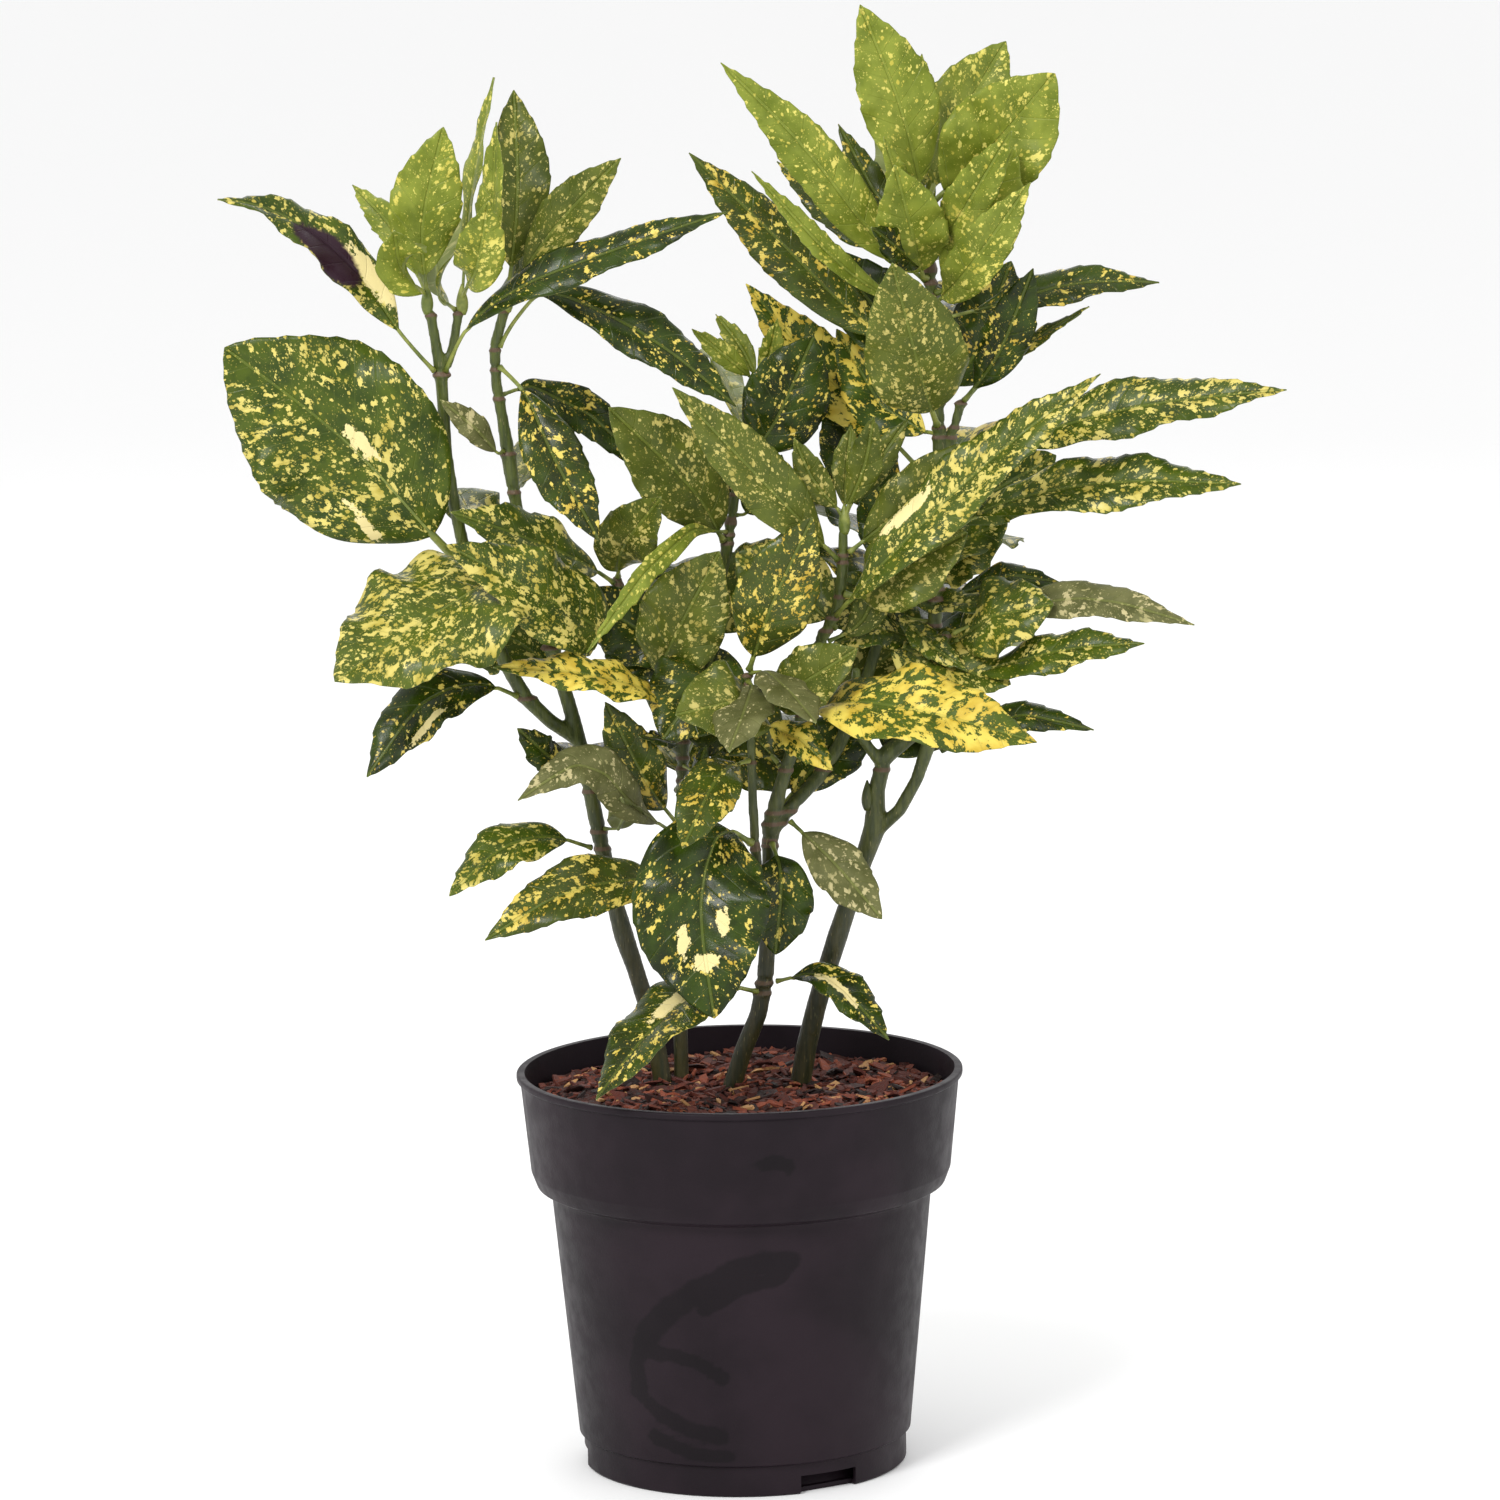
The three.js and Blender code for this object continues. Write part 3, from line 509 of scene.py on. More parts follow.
def blade_mesh(leaf, rng, soft):
    """Upper and lower skins of one blade: corners, faces, which skin each face is on, leaf places."""
    at, middle, side, normal = leaf.walk(ALONG)
    share = np.clip((at - leaf.blade_from) / (leaf.length - leaf.blade_from), 0, 1)
    blade = leaf.length - leaf.blade_from
    lefts = outline(share, rng, blade, 2 * leaf.half, soft["teeth"] / leaf.half)
    rights = outline(share, rng, blade, 2 * leaf.half, soft["teeth"] / leaf.half)
    columns = np.linspace(-1, 1, 2 * ACROSS + 1)
    fold = soft["fold"] + rng.uniform(-0.05, 0.1)
    curl = soft["curl"] + rng.uniform(-0.08, 0.08)
    waves = rng.uniform(2.2, 3.6, 2)
    starts = rng.uniform(0, 6.28, 2)
    height_of = soft["ruffle"] * leaf.half
    tops, places = [], []
    for k in range(ALONG):
        for v in columns:
            hand = 0 if v < 0 else 1
            half = leaf.half * (lefts if v < 0 else rights)[k]
            half = max(half, 0.25)
            out = abs(v)
            rise = half * (fold * out - curl * out**2.2)
            rise += height_of * out**2 * math.sin(waves[hand] * 6.28 * share[k] + starts[hand]) * (
                math.sin(math.pi * share[k])
            )
            swept = (at[k] - SIDE_LEAN * out * half) / VEIN_PITCH
            rise += 0.35 * math.sin(math.pi * (swept % 1.0)) * min(1, 3 * out) * (1 - out**4)
            pull = half * v * (1 - 0.10 * fold)
            tops.append(middle[k] + side[k] * pull + normal[k] * rise)
            places.append((at[k], v * half))
    tops = np.array(tops)
    width = 2 * ACROSS + 1
    thick = np.tile(EXTRA_THICKNESS * (1 - np.abs(columns) ** 3) + RIM_THICKNESS, ALONG)
    lows = tops - np.repeat(normal, width, axis=0) * thick[:, None]
    first = max(0, int(np.searchsorted(at, leaf.blade_from)) - 1)
    faces, skins = [], []
    total = len(tops)
    for k in range(first, ALONG - 1):
        for j in range(width - 1):
            a = k * width + j
            quad = (a, a + 1, a + width + 1, a + width)
            faces.append(quad)
            skins.append(0)
            faces.append(tuple(total + v for v in reversed(quad)))
            skins.append(1)
        for j, flip in ((0, False), (width - 1, True)):
            a = k * width + j
            rim = (a, a + width, total + a + width, total + a)
            faces.append(rim[::-1] if flip else rim)
            skins.append(1)
    for k, flip in ((first, False), (ALONG - 1, True)):
        for j in range(width - 1):
            a = k * width + j
            rim = (a, total + a, total + a + 1, a + 1)
            faces.append(rim[::-1] if flip else rim)
            skins.append(1)
    return np.concatenate([tops, lows]), faces, skins, places + places


def stalk_mesh(leaf, stalk_r):
    """The stalk, which runs on under the blade as its midrib and thins to nothing."""
    at, middle, side, normal = leaf.walk(ALONG)
    last = int(ALONG * MIDRIB_SHARE)
    sides = 8
    points, faces, places = [], [], []
    for k in range(last):
        free = at[k] < leaf.blade_from
        radius = stalk_r * (1 - 0.75 * k / last)
        sink = 0.0 if free else -0.45 - 0.35 * radius
        if at[k] < 3:
            radius *= 1.5 - 0.5 * at[k] / 3
        for i in range(sides):
            turn = 2 * math.pi * i / sides
            offset = side[k] * math.cos(turn) + normal[k] * math.sin(turn) * 0.85
            points.append(middle[k] + offset * radius + normal[k] * sink)
            places.append((at[k], 0.0))
    for k in range(last - 1):
        for i in range(sides):
            a, b = k * sides + i, k * sides + (i + 1) % sides
            faces.append((a, a + sides, b + sides, b))
    faces.append(tuple(range(sides)))
    faces.append(tuple(range((last - 1) * sides, last * sides))[::-1])
    return np.array(points), faces, places


KINDS = {
    "leaf_dark": {"fold": 0.26, "curl": 0.26, "ruffle": 0.14, "teeth": 0.9},
    "leaf_dusted": {"fold": 0.28, "curl": 0.24, "ruffle": 0.17, "teeth": 1.3},
    "leaf_golden": {"fold": 0.28, "curl": 0.26, "ruffle": 0.18, "teeth": 1.1},
    "leaf_olive": {"fold": 0.28, "curl": 0.22, "ruffle": 0.12, "teeth": 0.7},
    "leaf_young": {"fold": 0.30, "curl": 0.16, "ruffle": 0.12, "teeth": 1.0},
    "leaf_pale": {"fold": 0.26, "curl": 0.26, "ruffle": 0.12, "teeth": 0.8},
}
# Cream patches: share along the blade, mm across, and the patch's half length and half width.
CREAM = {
    "leaf_left_large": [(0.42, 4, 14, 5), (0.20, -18, 20, 3)],
    "leaf_front_hanging": [(0.64, 8, 8, 4), (0.56, -9, 8, 4), (0.74, 0, 5, 8)],
    "leaf_left_long": [(0.25, 4, 22, 6)],
    "leaf_centre_front": [(0.34, -9, 20, 4)],
        "leaf_front_yellow": [(0.42, 1, 18, 3)],
    "leaf_front_rim": [(0.4, 3, 26, 4)],
    "leaf_left_glossy": [(0.55, -9, 16, 2)],
}
SCORCH = {"leaf_left_long": [(0.46, -4, 19, 8)]}


def patch_values(patches, places, leaf):
    along = np.array([p[0] for p in places])
    across = np.array([p[1] for p in places])
    best = np.zeros(len(places))
    for share, off, reach, half in patches:
        centre = leaf.blade_from + share * (leaf.length - leaf.blade_from)
        far = np.hypot((along - centre) / reach, (across - off) / half)
        best = np.maximum(best, np.clip(1 - 0.5 * far, 0, 1) * 0.95)
    return best


def build_leaf(name, leaves, slot, nodes=(), bud=None):
    points, faces, skins, places, seeds, creams, scorches = [], [], [], [], [], [], []
    for number, leaf in enumerate(leaves):
        rng = rng_for(f"{name}{number}")
        seed = rng.uniform(0, 900)
        corners, quads, sides, where = blade_mesh(leaf, rng, KINDS[slot])
        stalk_r = 0.55 + 0.035 * leaf.half
        stalk, tubes, line = stalk_mesh(leaf, stalk_r)
        for part, part_faces, part_skins, part_places in (
            (corners, quads, sides, where),
            (stalk, tubes, [2] * len(tubes), line),
        ):
            start = sum(len(p) for p in points)
            points.append(part)
            faces += [tuple(start + v for v in face) for face in part_faces]
            skins += part_skins
            places += part_places
            seeds += [seed] * len(part)
            creams.append(patch_values(CREAM.get(name, []), part_places, leaf))
            scorches.append(patch_values(SCORCH.get(name, []), part_places, leaf))
    piece = new_piece(name + "_fine", np.concatenate(points), faces, nodes)
    used = clean(piece, skins)
    mesh = piece.data
    values = [(p[0], p[1], s) for p, s in zip(places, seeds)]
    values = [values[i] for i in used]
    attribute = mesh.attributes.new("leaf", "FLOAT_VECTOR", "POINT")
    attribute.data.foreach_set("vector", np.array(values).ravel())
    for label, given in (("cream", creams), ("scorch", scorches)):
        attribute = mesh.attributes.new(label, "FLOAT", "POINT")
        attribute.data.foreach_set("value", np.concatenate(given)[used])
    for material in (MATERIALS[slot + "_upper"], MATERIALS[slot + "_under"], MATERIALS["stalk"]):
        mesh.materials.append(material)
    if bud is not None:
        add_bud(name, bud)
    return piece


def clean(piece, skins):
    """Drops corners that no face uses, and returns the numbers of the ones kept."""
    mesh = piece.data
    used = sorted({v for polygon in mesh.polygons for v in polygon.vertices})
    renumber = {v: i for i, v in enumerate(used)}
    places = [tuple(mesh.vertices[v].co) for v in used]
    faces = [tuple(renumber[v] for v in polygon.vertices) for polygon in mesh.polygons]
    fresh = bpy.data.meshes.new(mesh.name)
    fresh.from_pydata(places, [], faces)
    fresh.polygons.foreach_set("material_index", skins)
    fresh.polygons.foreach_set("use_smooth", [True] * len(faces))
    piece.data = fresh
    return used


def new_piece(name, points_mm, faces, nodes=()):
    mesh = bpy.data.meshes.new(name)
    mesh.from_pydata([tuple(p) for p in np.asarray(points_mm) * MM], [], faces)
    piece = bpy.data.objects.new(name, mesh)
    bpy.context.collection.objects.link(piece)
    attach(piece, ROOT)
    if nodes:
        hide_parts(*nodes)
    return piece


def add_bud(name, bud, material="stalk"):
    """The pointed bud at a shoot's tip: a closed tube whose oval section is slightly twisted."""
    points, faces = [], []
    rows, sides = 9, 12
    for k in range(rows):
        share = k / (rows - 1)
        radius = 2.9 * math.sin(math.pi * (0.12 + 0.84 * share)) ** 0.8 * (1 - 0.35 * share)
        for i in range(sides):
            turn = 2 * math.pi * i / sides
            scale = 1 + 0.10 * math.cos(2 * turn + 3.0 * share)
            points.append(bud + np.array([radius * scale * math.cos(turn), radius * scale * math.sin(turn),
                                          -6 + 13 * share]))
    for k in range(rows - 1):
        for i in range(sides):
            a, b = k * sides + i, k * sides + (i + 1) % sides
            faces.append((a, b, b + sides, a + sides))
    faces.append(tuple(range(sides))[::-1])
    faces.append(tuple(range((rows - 1) * sides, rows * sides)))
    piece = new_piece(name + "_bud", points, faces)
    piece.data.polygons.foreach_set("use_smooth", [True] * len(faces))
    piece.data.materials.append(MATERIALS[material])


DRY_BUD = (56.0, 2.0, 286.0)  # beside the lowest fork of the right-hand stem

# Leaves past the frame's 60 nodes: label, slot, width, upper side's direction, midrib points.
SMALL_LEAVES = [
    ("curled", "leaf_pale", 11, (0, -1, 0.4), [(-97, -4, 435), (-106, -12, 447), (-120, -20, 460)]),
    ("sliver", "leaf_dusted", 14, (0, -0.4, 1), [(-118, 12, 366), (-140, 26, 344), (-168, 30, 350)]),
    ("left_hid", "leaf_dark", 18, (0, -0.9, 0.5), [(-84, 14, 462), (-60, 30, 448), (-30, 34, 420)]),
    ("top_peak", "leaf_dark", 15, (0, -1, 0.3), [(76, 18, 522), (62, 30, 541), (48, 38, 568)]),
    ("top_light", "leaf_young", 10, (0.2, -1, 0.2), [(80, -8, 532), (72, -20, 548), (66, -24, 567)]),
    ("top_thin", "leaf_dark", 10, (0.2, -1, 0.2), [(79, -6, 518), (73, -16, 540), (69, -20, 560)]),
    ("top_small", "leaf_dark", 14, (0, -1, 0.4), [(80, -10, 512), (70, -28, 522), (60, -40, 531)]),
    ("side_thin", "leaf_dark", 9, (0, -0.5, 0.9), [(106, -4, 462), (128, -8, 480), (151, -10, 494)]),
    ("side_dots", "leaf_dark", 13, (0, -0.8, 0.6), [(98, 6, 372), (118, 14, 378), (139, 18, 374)]),
    ("inner_thin", "leaf_dusted", 13, (0, -0.7, 0.7), [(74, 10, 370), (94, -8, 370), (115, -20, 370)]),
    ("inner_light", "leaf_dusted", 12, (0.2, -1, 0.2), [(72, 4, 362), (84, -14, 352), (98, -24, 343)]),
    ("inner_dusk", "leaf_dusted", 20, (0, -0.8, 0.6), [(78, 20, 352), (60, 2, 358), (42, -6, 352)]),
    ("side_small", "leaf_golden", 9, (0.2, -1, 0.2), [(97, -10, 350), (105, -18, 357), (113, -22, 365)]),
    ("golden_end", "leaf_dark", 15, (0, -0.7, 0.7), [(96, -20, 318), (122, -36, 326), (150, -42, 320)]),
    ("under_a", "leaf_pale", 24, (0, 0.5, 1), [(8, -24, 338), (4, -48, 330), (-2, -72, 318)]),
    ("under_b", "leaf_pale", 22, (0.3, -0.6, 0.8), [(14, -22, 344), (24, -44, 338), (34, -62, 328)]),
    ("gold_small", "leaf_golden", 15, (0, -0.9, 0.4), [(16, -18, 320), (28, -30, 316), (41, -38, 304)]),
    ("left_cream", "leaf_dark", 14, (0, -0.9, 0.4), [(-70, 6, 298), (-80, -6, 308), (-91, -14, 320)]),
    ("grey_under", "leaf_pale", 14, (0, 0.4, 1), [(-50, 12, 272), (-46, -2, 282), (-48, -14, 290)]),
    ("thin_dark", "leaf_dark", 8, (0, -0.8, 0.6), [(-26, 14, 308), (-32, 4, 312), (-40, -2, 314)]),
    ("narrow", "leaf_young", 9, (0.5, -0.8, 0.3), [(-16, -4, 402), (-36, -20, 386), (-61, -30, 354)]),
    ("cream_back", "leaf_dusted", 18, (0, -0.9, 0.4), [(6, 26, 404), (14, 22, 416), (22, 20, 430)]),
    ("tiny_a", "leaf_dark", 7, (0, -1, 0.3), [(-18, 14, 296), (-14, 6, 302), (-12, 2, 309)]),
    ("tiny_b", "leaf_dark", 7, (0, -1, 0.3), [(-26, 16, 288), (-20, 4, 292), (-16, -4, 296)]),
    ("wide_a", "leaf_dusted", 36, (0.1, -0.85, 0.5), [(-54, 4, 358), (-82, -28, 380), (-118, -42, 402)]),
    ("wide_b", "leaf_dusted", 34, (0, -0.8, 0.6), [(92, -8, 352), (108, -24, 366), (134, -34, 372)]),
    ("wide_c", "leaf_dusted", 32, (0, -0.8, 0.6), [(70, 2, 350), (90, -16, 344), (116, -30, 338)]),
    ("wide_d", "leaf_olive", 34, (0, -0.9, 0.4), [(54, -18, 374), (70, -34, 388), (98, -44, 404)]),
    ("wide_e", "leaf_dark", 38, (0, -0.9, 0.4), [(-6, 14, 350), (-12, 2, 338), (-30, -10, 314)]),
    ("wide_f", "leaf_dark", 36, (0, -0.9, 0.4), [(-20, 24, 330), (-30, 30, 344), (-54, 34, 366)]),
    ("wide_g", "leaf_dusted", 34, (0, -0.9, 0.4), [(44, -12, 360), (30, 0, 372), (2, 6, 390)]),
    ("wide_h", "leaf_dark", 34, (0, -0.9, 0.4), [(84, 8, 372), (76, 24, 388), (58, 30, 424)]),
    ("wide_i", "leaf_dusted", 30, (0, -0.9, 0.4), [(92, 4, 400), (108, 16, 412), (138, 20, 428)]),
    ("wide_j", "leaf_olive", 34, (0, -0.8, 0.5), [(12, -16, 326), (2, -36, 334), (-24, -48, 330)]),
    ("wide_k", "leaf_dark", 34, (0, -0.9, 0.4), [(62, 2, 300), (76, 14, 316), (104, 20, 332)]),
    ("mid_a", "leaf_dark", 30, (0.1, -0.9, 0.3), [(-18, 20, 338), (-34, 24, 352), (-66, 26, 372)]),
    ("mid_b", "leaf_dusted", 32, (0, -0.9, 0.4), [(-14, 26, 352), (2, 32, 366), (30, 36, 392)]),
    ("mid_c", "leaf_dark", 34, (0, -0.8, 0.5), [(20, -2, 300), (4, 14, 316), (-26, 24, 322)]),
    ("mid_d", "leaf_olive", 30, (0.1, -0.9, 0.4), [(40, 14, 318), (56, 22, 336), (88, 30, 356)]),
    ("mid_e", "leaf_dusted", 34, (0, -0.8, 0.5), [(66, 24, 372), (84, 34, 384), (118, 40, 398)]),
    ("mid_f", "leaf_dark", 28, (0, -0.9, 0.4), [(6, 26, 414), (-10, 38, 424), (-40, 48, 424)]),
    ("mid_g", "leaf_dark", 30, (0.1, -1, 0.2), [(76, 26, 402), (60, 32, 418), (42, 36, 452)]),
    ("mid_h", "leaf_dusted", 30, (0, -0.8, 0.5), [(84, 6, 350), (62, 22, 362), (30, 30, 372)]),
    ("mid_i", "leaf_olive", 26, (0, -0.9, 0.4), [(10, -14, 334), (26, -30, 338), (52, -44, 356)]),
    ("low_a", "leaf_dark", 30, (0, -0.9, 0.4), [(-18, 22, 314), (0, 24, 306), (32, 22, 290)]),
    ("low_b", "leaf_dark", 26, (0, -0.9, 0.4), [(20, 6, 282), (36, 14, 300), (60, 22, 322)]),
    ("low_c", "leaf_dusted", 30, (-0.1, -0.8, 0.5), [(-74, 12, 340), (-92, 22, 352), (-126, 30, 358)]),
    ("top_mid_a", "leaf_dark", 30, (0, -1, 0.2), [(82, 6, 470), (68, 16, 484), (44, 22, 516)]),
    ("top_mid_b", "leaf_young", 28, (0, -1, 0.2), [(82, -4, 506), (78, -22, 524), (70, -36, 556)]),
    ("top_mid_c", "leaf_young", 28, (0.1, -1, 0.2), [(90, -4, 500), (104, -16, 522), (120, -26, 562)]),
    ("top_mid_d", "leaf_dark", 30, (0.1, -1, 0.2), [(92, 6, 458), (106, 18, 474), (120, 26, 510)]),
    ("top_mid_e", "leaf_golden", 24, (0, -0.9, 0.3), [(82, 10, 440), (64, 22, 450), (46, 30, 482)]),
    ("rear_a", "leaf_dark", 34, (0, 0.6, 0.9), [(54, 24, 320), (60, 60, 334), (72, 104, 322)]),
    ("rear_b", "leaf_dusted", 34, (0, 0.6, 0.9), [(-108, 20, 402), (-118, 54, 414), (-126, 98, 404)]),
    ("rear_c", "leaf_olive", 32, (0, 0.7, 0.8), [(-88, 20, 420), (-78, 54, 436), (-60, 96, 440)]),
    ("rear_d", "leaf_dark", 34, (0, 0.6, 0.9), [(70, 32, 384), (52, 66, 398), (30, 106, 396)]),
    ("rear_e", "leaf_dusted", 32, (0, 0.7, 0.8), [(84, 20, 512), (76, 52, 528), (64, 92, 540)]),
    ("rear_f", "leaf_young", 28, (0, 0.8, 0.6), [(6, 30, 440), (0, 62, 456), (-10, 96, 470)]),
    ("rear_g", "leaf_dark", 32, (0, 0.6, 0.9), [(-60, 30, 290), (-66, 64, 300), (-70, 104, 288)]),
    ("rear_h", "leaf_dark", 30, (0, 0.6, 0.9), [(90, 16, 330), (110, 50, 344), (132, 92, 336)]),
    ("rear_i", "leaf_dark", 36, (0, 0.6, 0.8), [(86, 24, 350), (84, 60, 366), (80, 106, 362)]),
    ("rear_j", "leaf_dusted", 34, (-0.1, 0.6, 0.8), [(-6, 34, 404), (-18, 64, 416), (-30, 104, 408)]),
    ("rear_k", "leaf_golden", 32, (0.1, 0.6, 0.8), [(88, 22, 422), (104, 54, 436), (116, 96, 430)]),
    ("rear_l", "leaf_dark", 32, (0, 0.7, 0.7), [(84, 22, 470), (70, 54, 488), (54, 92, 490)]),
    ("rear_m", "leaf_young", 30, (0, 0.8, 0.6), [(84, 26, 540), (92, 46, 556), (104, 70, 582)]),
    ("rear_n", "leaf_young", 28, (0, 0.8, 0.6), [(80, 24, 536), (72, 44, 552), (68, 66, 578)]),
    ("rear_o", "leaf_dusted", 34, (0, 0.6, 0.8), [(-24, 44, 292), (-36, 70, 304), (-48, 106, 296)]),
    ("rear_q", "leaf_olive", 28, (0, 0.8, 0.6), [(-94, 16, 500), (-88, 38, 516), (-82, 62, 540)]),
    ("rear_r", "leaf_young", 26, (0, 0.8, 0.6), [(-120, 4, 500), (-122, 28, 516), (-124, 54, 544)]),
    ("rear_t", "leaf_dusted", 30, (0, 0.6, 0.8), [(30, 26, 300), (22, 60, 312), (12, 106, 306)]),
    ("rear_u", "leaf_dark", 30, (0.2, 0.5, 0.8), [(-84, 30, 352), (-108, 56, 362), (-134, 84, 352)]),
    ("rear_v", "leaf_dark", 28, (0, 0.6, 0.8), [(52, 30, 372), (44, 64, 384), (30, 104, 378)]),
]


# ---- Stems -------------------------------------------------------------------------------------
def stem_material():
    graph = Graph("stem_bark")
    place = graph.place_mm()
    split = graph.node("SeparateXYZ")
    graph.put(split.inputs[0], place)
    streaks = graph.vector(split.outputs[0], split.outputs[1], graph.math("MULTIPLY", split.outputs[2], 0.12))
    tone = graph.step(graph.noise(streaks, 0.5, 3.0), 0.35, 0.65)
    young = graph.mix(tone, rgb("394410"), rgb("505a1c"))
    old = graph.mix(tone, rgb("23280c"), rgb("3a3616"))
    height = graph.step(split.outputs[2], 190.0, 360.0)
    color = graph.mix(height, old, young)
    scar = graph.value("scar")
    edge = graph.math("ADD", scar, graph.math("MULTIPLY", graph.noise(place, 0.6), 0.35))
    color = graph.mix(graph.step(edge, 0.75, 1.05), color, rgb("5b4630"))
    lenticels = graph.step(graph.noise(streaks, 1.6, 1.0), 0.68, 0.74, 0.0, 0.5)
    graph.set("Base Color", graph.mix(lenticels, color, rgb("8a8050")))
    graph.set("Roughness", graph.step(graph.noise(place, 0.3), 0.3, 0.7, 0.4, 0.56))
    graph.bump(graph.math("ADD", graph.noise(streaks, 1.1, 3.0), graph.math("MULTIPLY", scar, -0.6)), 0.4)
    return graph.material


def build_stem(node, bases):
    """The CAD stem, remeshed finely, smoothed and ringed where each leaf leaves it."""
    source = frame["nodes"][node]
    piece = bpy.data.objects.new(node + "_fine", source.data.copy())
    piece.data.materials.clear()
    bpy.context.collection.objects.link(piece)
    remesh = piece.modifiers.new("remesh", "REMESH")
    remesh.mode = "VOXEL"
    remesh.voxel_size = 0.95 * MM
    smooth = piece.modifiers.new("smooth", "SMOOTH")
    smooth.iterations = 14
    smooth.factor = 0.5
    fine = bpy.data.meshes.new_from_object(piece.evaluated_get(bpy.context.evaluated_depsgraph_get()))
    piece.modifiers.clear()
    piece.data = fine
    count = len(fine.vertices)
    places = np.empty(count * 3)
    fine.vertices.foreach_get("co", places)
    places = places.reshape(-1, 3) / MM
    normals = np.array([tuple(v.normal) for v in fine.vertices])
    scar = np.zeros(count)
    for base in bases:
        off = places - base
        near = np.linalg.norm(off[:, :2], axis=1) < 14
        ring = np.exp(-((off[:, 2] + 1.2) / 1.5) ** 2) * near
        scar = np.maximum(scar, ring)
        lip = np.exp(-((off[:, 2] + 1.8) / 0.9) ** 2) - 0.7 * np.exp(-((off[:, 2] - 0.4) / 0.8) ** 2)
        places += normals * (0.55 * lip * near)[:, None]
    places += normals * 0.28  # smoothing takes about this off the bark
    fine.vertices.foreach_set("co", (places * MM).ravel())
    attribute = fine.attributes.new("scar", "FLOAT", "POINT")
    attribute.data.foreach_set("value", scar)
    fine.polygons.foreach_set("use_smooth", [True] * len(fine.polygons))
    fine.materials.clear()
    fine.materials.append(MATERIALS["stem"])
    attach(piece, ROOT)
    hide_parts(node)


# ---- Pot ---------------------------------------------------------------------------------------
SEGMENTS = 168
ROW = 2.6  # mm from one row of corners to the next
FOOT_RADIUS = 68.0
NOTCH_SIZE = (8, 27, 16)  # mm through the foot, along it and up
DRAIN_HOLES = 8
DRAIN_RADIUS = 44.5  # mm from the middle to each hole
NOTCH_TURNS = [math.radians(-59 + 120 * i) for i in range(3)]
# Water marks on the front: points of each mark's line, as azimuth in degrees and height, and its half width.
MARKS = [
    ([(-76, 103), (-84, 103), (-94, 98), (-105, 90), (-116, 79), (-124, 66)], 5.5),
    ([(-78, 97), (-90, 93), (-102, 83)], 3.5),
    ([(-124, 66), (-127, 56), (-126, 44)], 4.0),
    ([(-122, 62), (-112, 62), (-103, 58), (-97, 53)], 3.0),
    ([(-128, 44), (-119, 36), (-109, 30), (-98, 27)], 3.8),
    ([(-122, 25), (-108, 19), (-96, 18)], 3.0),
    ([(-84, 148), (-80, 149), (-77, 146)], 3.0),
]


def pot_profile():
    """The pot's section, walked along the CAD edges that lie in the plane y = 0, x > 0."""
    places, beside = welded("pot")
    flat = [i for i, p in enumerate(places) if abs(p[1]) < 0.02 and p[0] > -0.01]
    inside = set(flat)
    start = min(flat, key=lambda i: (round(places[i][0], 1), places[i][2]))
    path, seen = [start], {start}
    while True:
        ahead = [v for v in beside[path[-1]] if v in inside and v not in seen]
        if not ahead:
            break
        step = min(ahead, key=lambda v: np.linalg.norm(places[v] - places[path[-1]]))
        path.append(step)
        seen.add(step)
    return [(places[i][0], places[i][2]) for i in path]


def rounded(profile, radius=0.45):
    """The same section with its corners eased and long runs divided."""
    eased = [profile[0]]
    for before, here, after in zip(profile, profile[1:], profile[2:]):
        here = np.array(here)
        for other, order in ((before, 0), (after, 1)):
            away = np.array(other) - here
            size = np.linalg.norm(away)
            eased.append(tuple(here + away / size * min(radius, 0.3 * size)))
            if order == 0:
                mean = (np.array(before) + np.array(after)) / 2 - here
                eased.append(tuple(here + mean / np.linalg.norm(mean) * 0.2 * radius))
    eased.append(profile[-1])
    rows = [eased[0]]
    for a, b in zip(eased, eased[1:]):
        count = max(1, round(math.dist(a, b) / ROW))
        rows += [(a[0] + (b[0] - a[0]) * i / count, a[1] + (b[1] - a[1]) * i / count)
                 for i in range(1, count + 1)]
    return rows


def lathe_mesh(rows):
    points, faces, index = [], [], []
    for radius, z in rows:
        if radius < 0.02:
            index.append([len(points)] * SEGMENTS)
            points.append((0.0, 0.0, z))
            continue
        index.append(list(range(len(points), len(points) + SEGMENTS)))
        for i in range(SEGMENTS):
            turn = 2 * math.pi * i / SEGMENTS
            points.append((radius * math.cos(turn), radius * math.sin(turn), z))
    for low, high in zip(index, index[1:]):
        for i in range(SEGMENTS):
            j = (i + 1) % SEGMENTS
            face = list(dict.fromkeys((low[i], low[j], high[j], high[i])))
            faces.append(tuple(face))
    return np.array(points), faces


def cutter(parts):
    """One object made of boxes and drums that the pot is cut with."""
    made = bmesh.new()
    for kind, matrix, size in parts:
        if kind == "box":
            bmesh.ops.create_cube(made, size=1, matrix=matrix @ Matrix.Diagonal((*size, 1)))
        else:
            bmesh.ops.create_cone(made, cap_ends=True, segments=28, radius1=size[0], radius2=size[0],
                                  depth=size[1], matrix=matrix)
    mesh = bpy.data.meshes.new("cutter")
    made.to_mesh(mesh)
    made.free()
    piece = bpy.data.objects.new("cutter", mesh)
    bpy.context.collection.objects.link(piece)
    return piece


def mark_values(points):
    azimuth = np.arctan2(points[:, 1], points[:, 0])
    around = np.hypot(points[:, 0], points[:, 1])
    best = np.zeros(len(points))
    for line, half in MARKS:
        nodes = np.array([(math.radians(a), z) for a, z in line])
        for (a0, z0), (a1, z1) in zip(nodes, nodes[1:]):
            x, y = (azimuth - a0) * around, points[:, 2] - z0
            dx, dy = (a1 - a0) * around, z1 - z0
            t = np.clip((x * dx + y * dy) / (dx**2 + dy**2 + 1e-9), 0, 1)
            far = np.hypot(x - t * dx, y - t * dy)
            best = np.maximum(best, np.clip(1.4 - far / half, 0, 1))
    return best


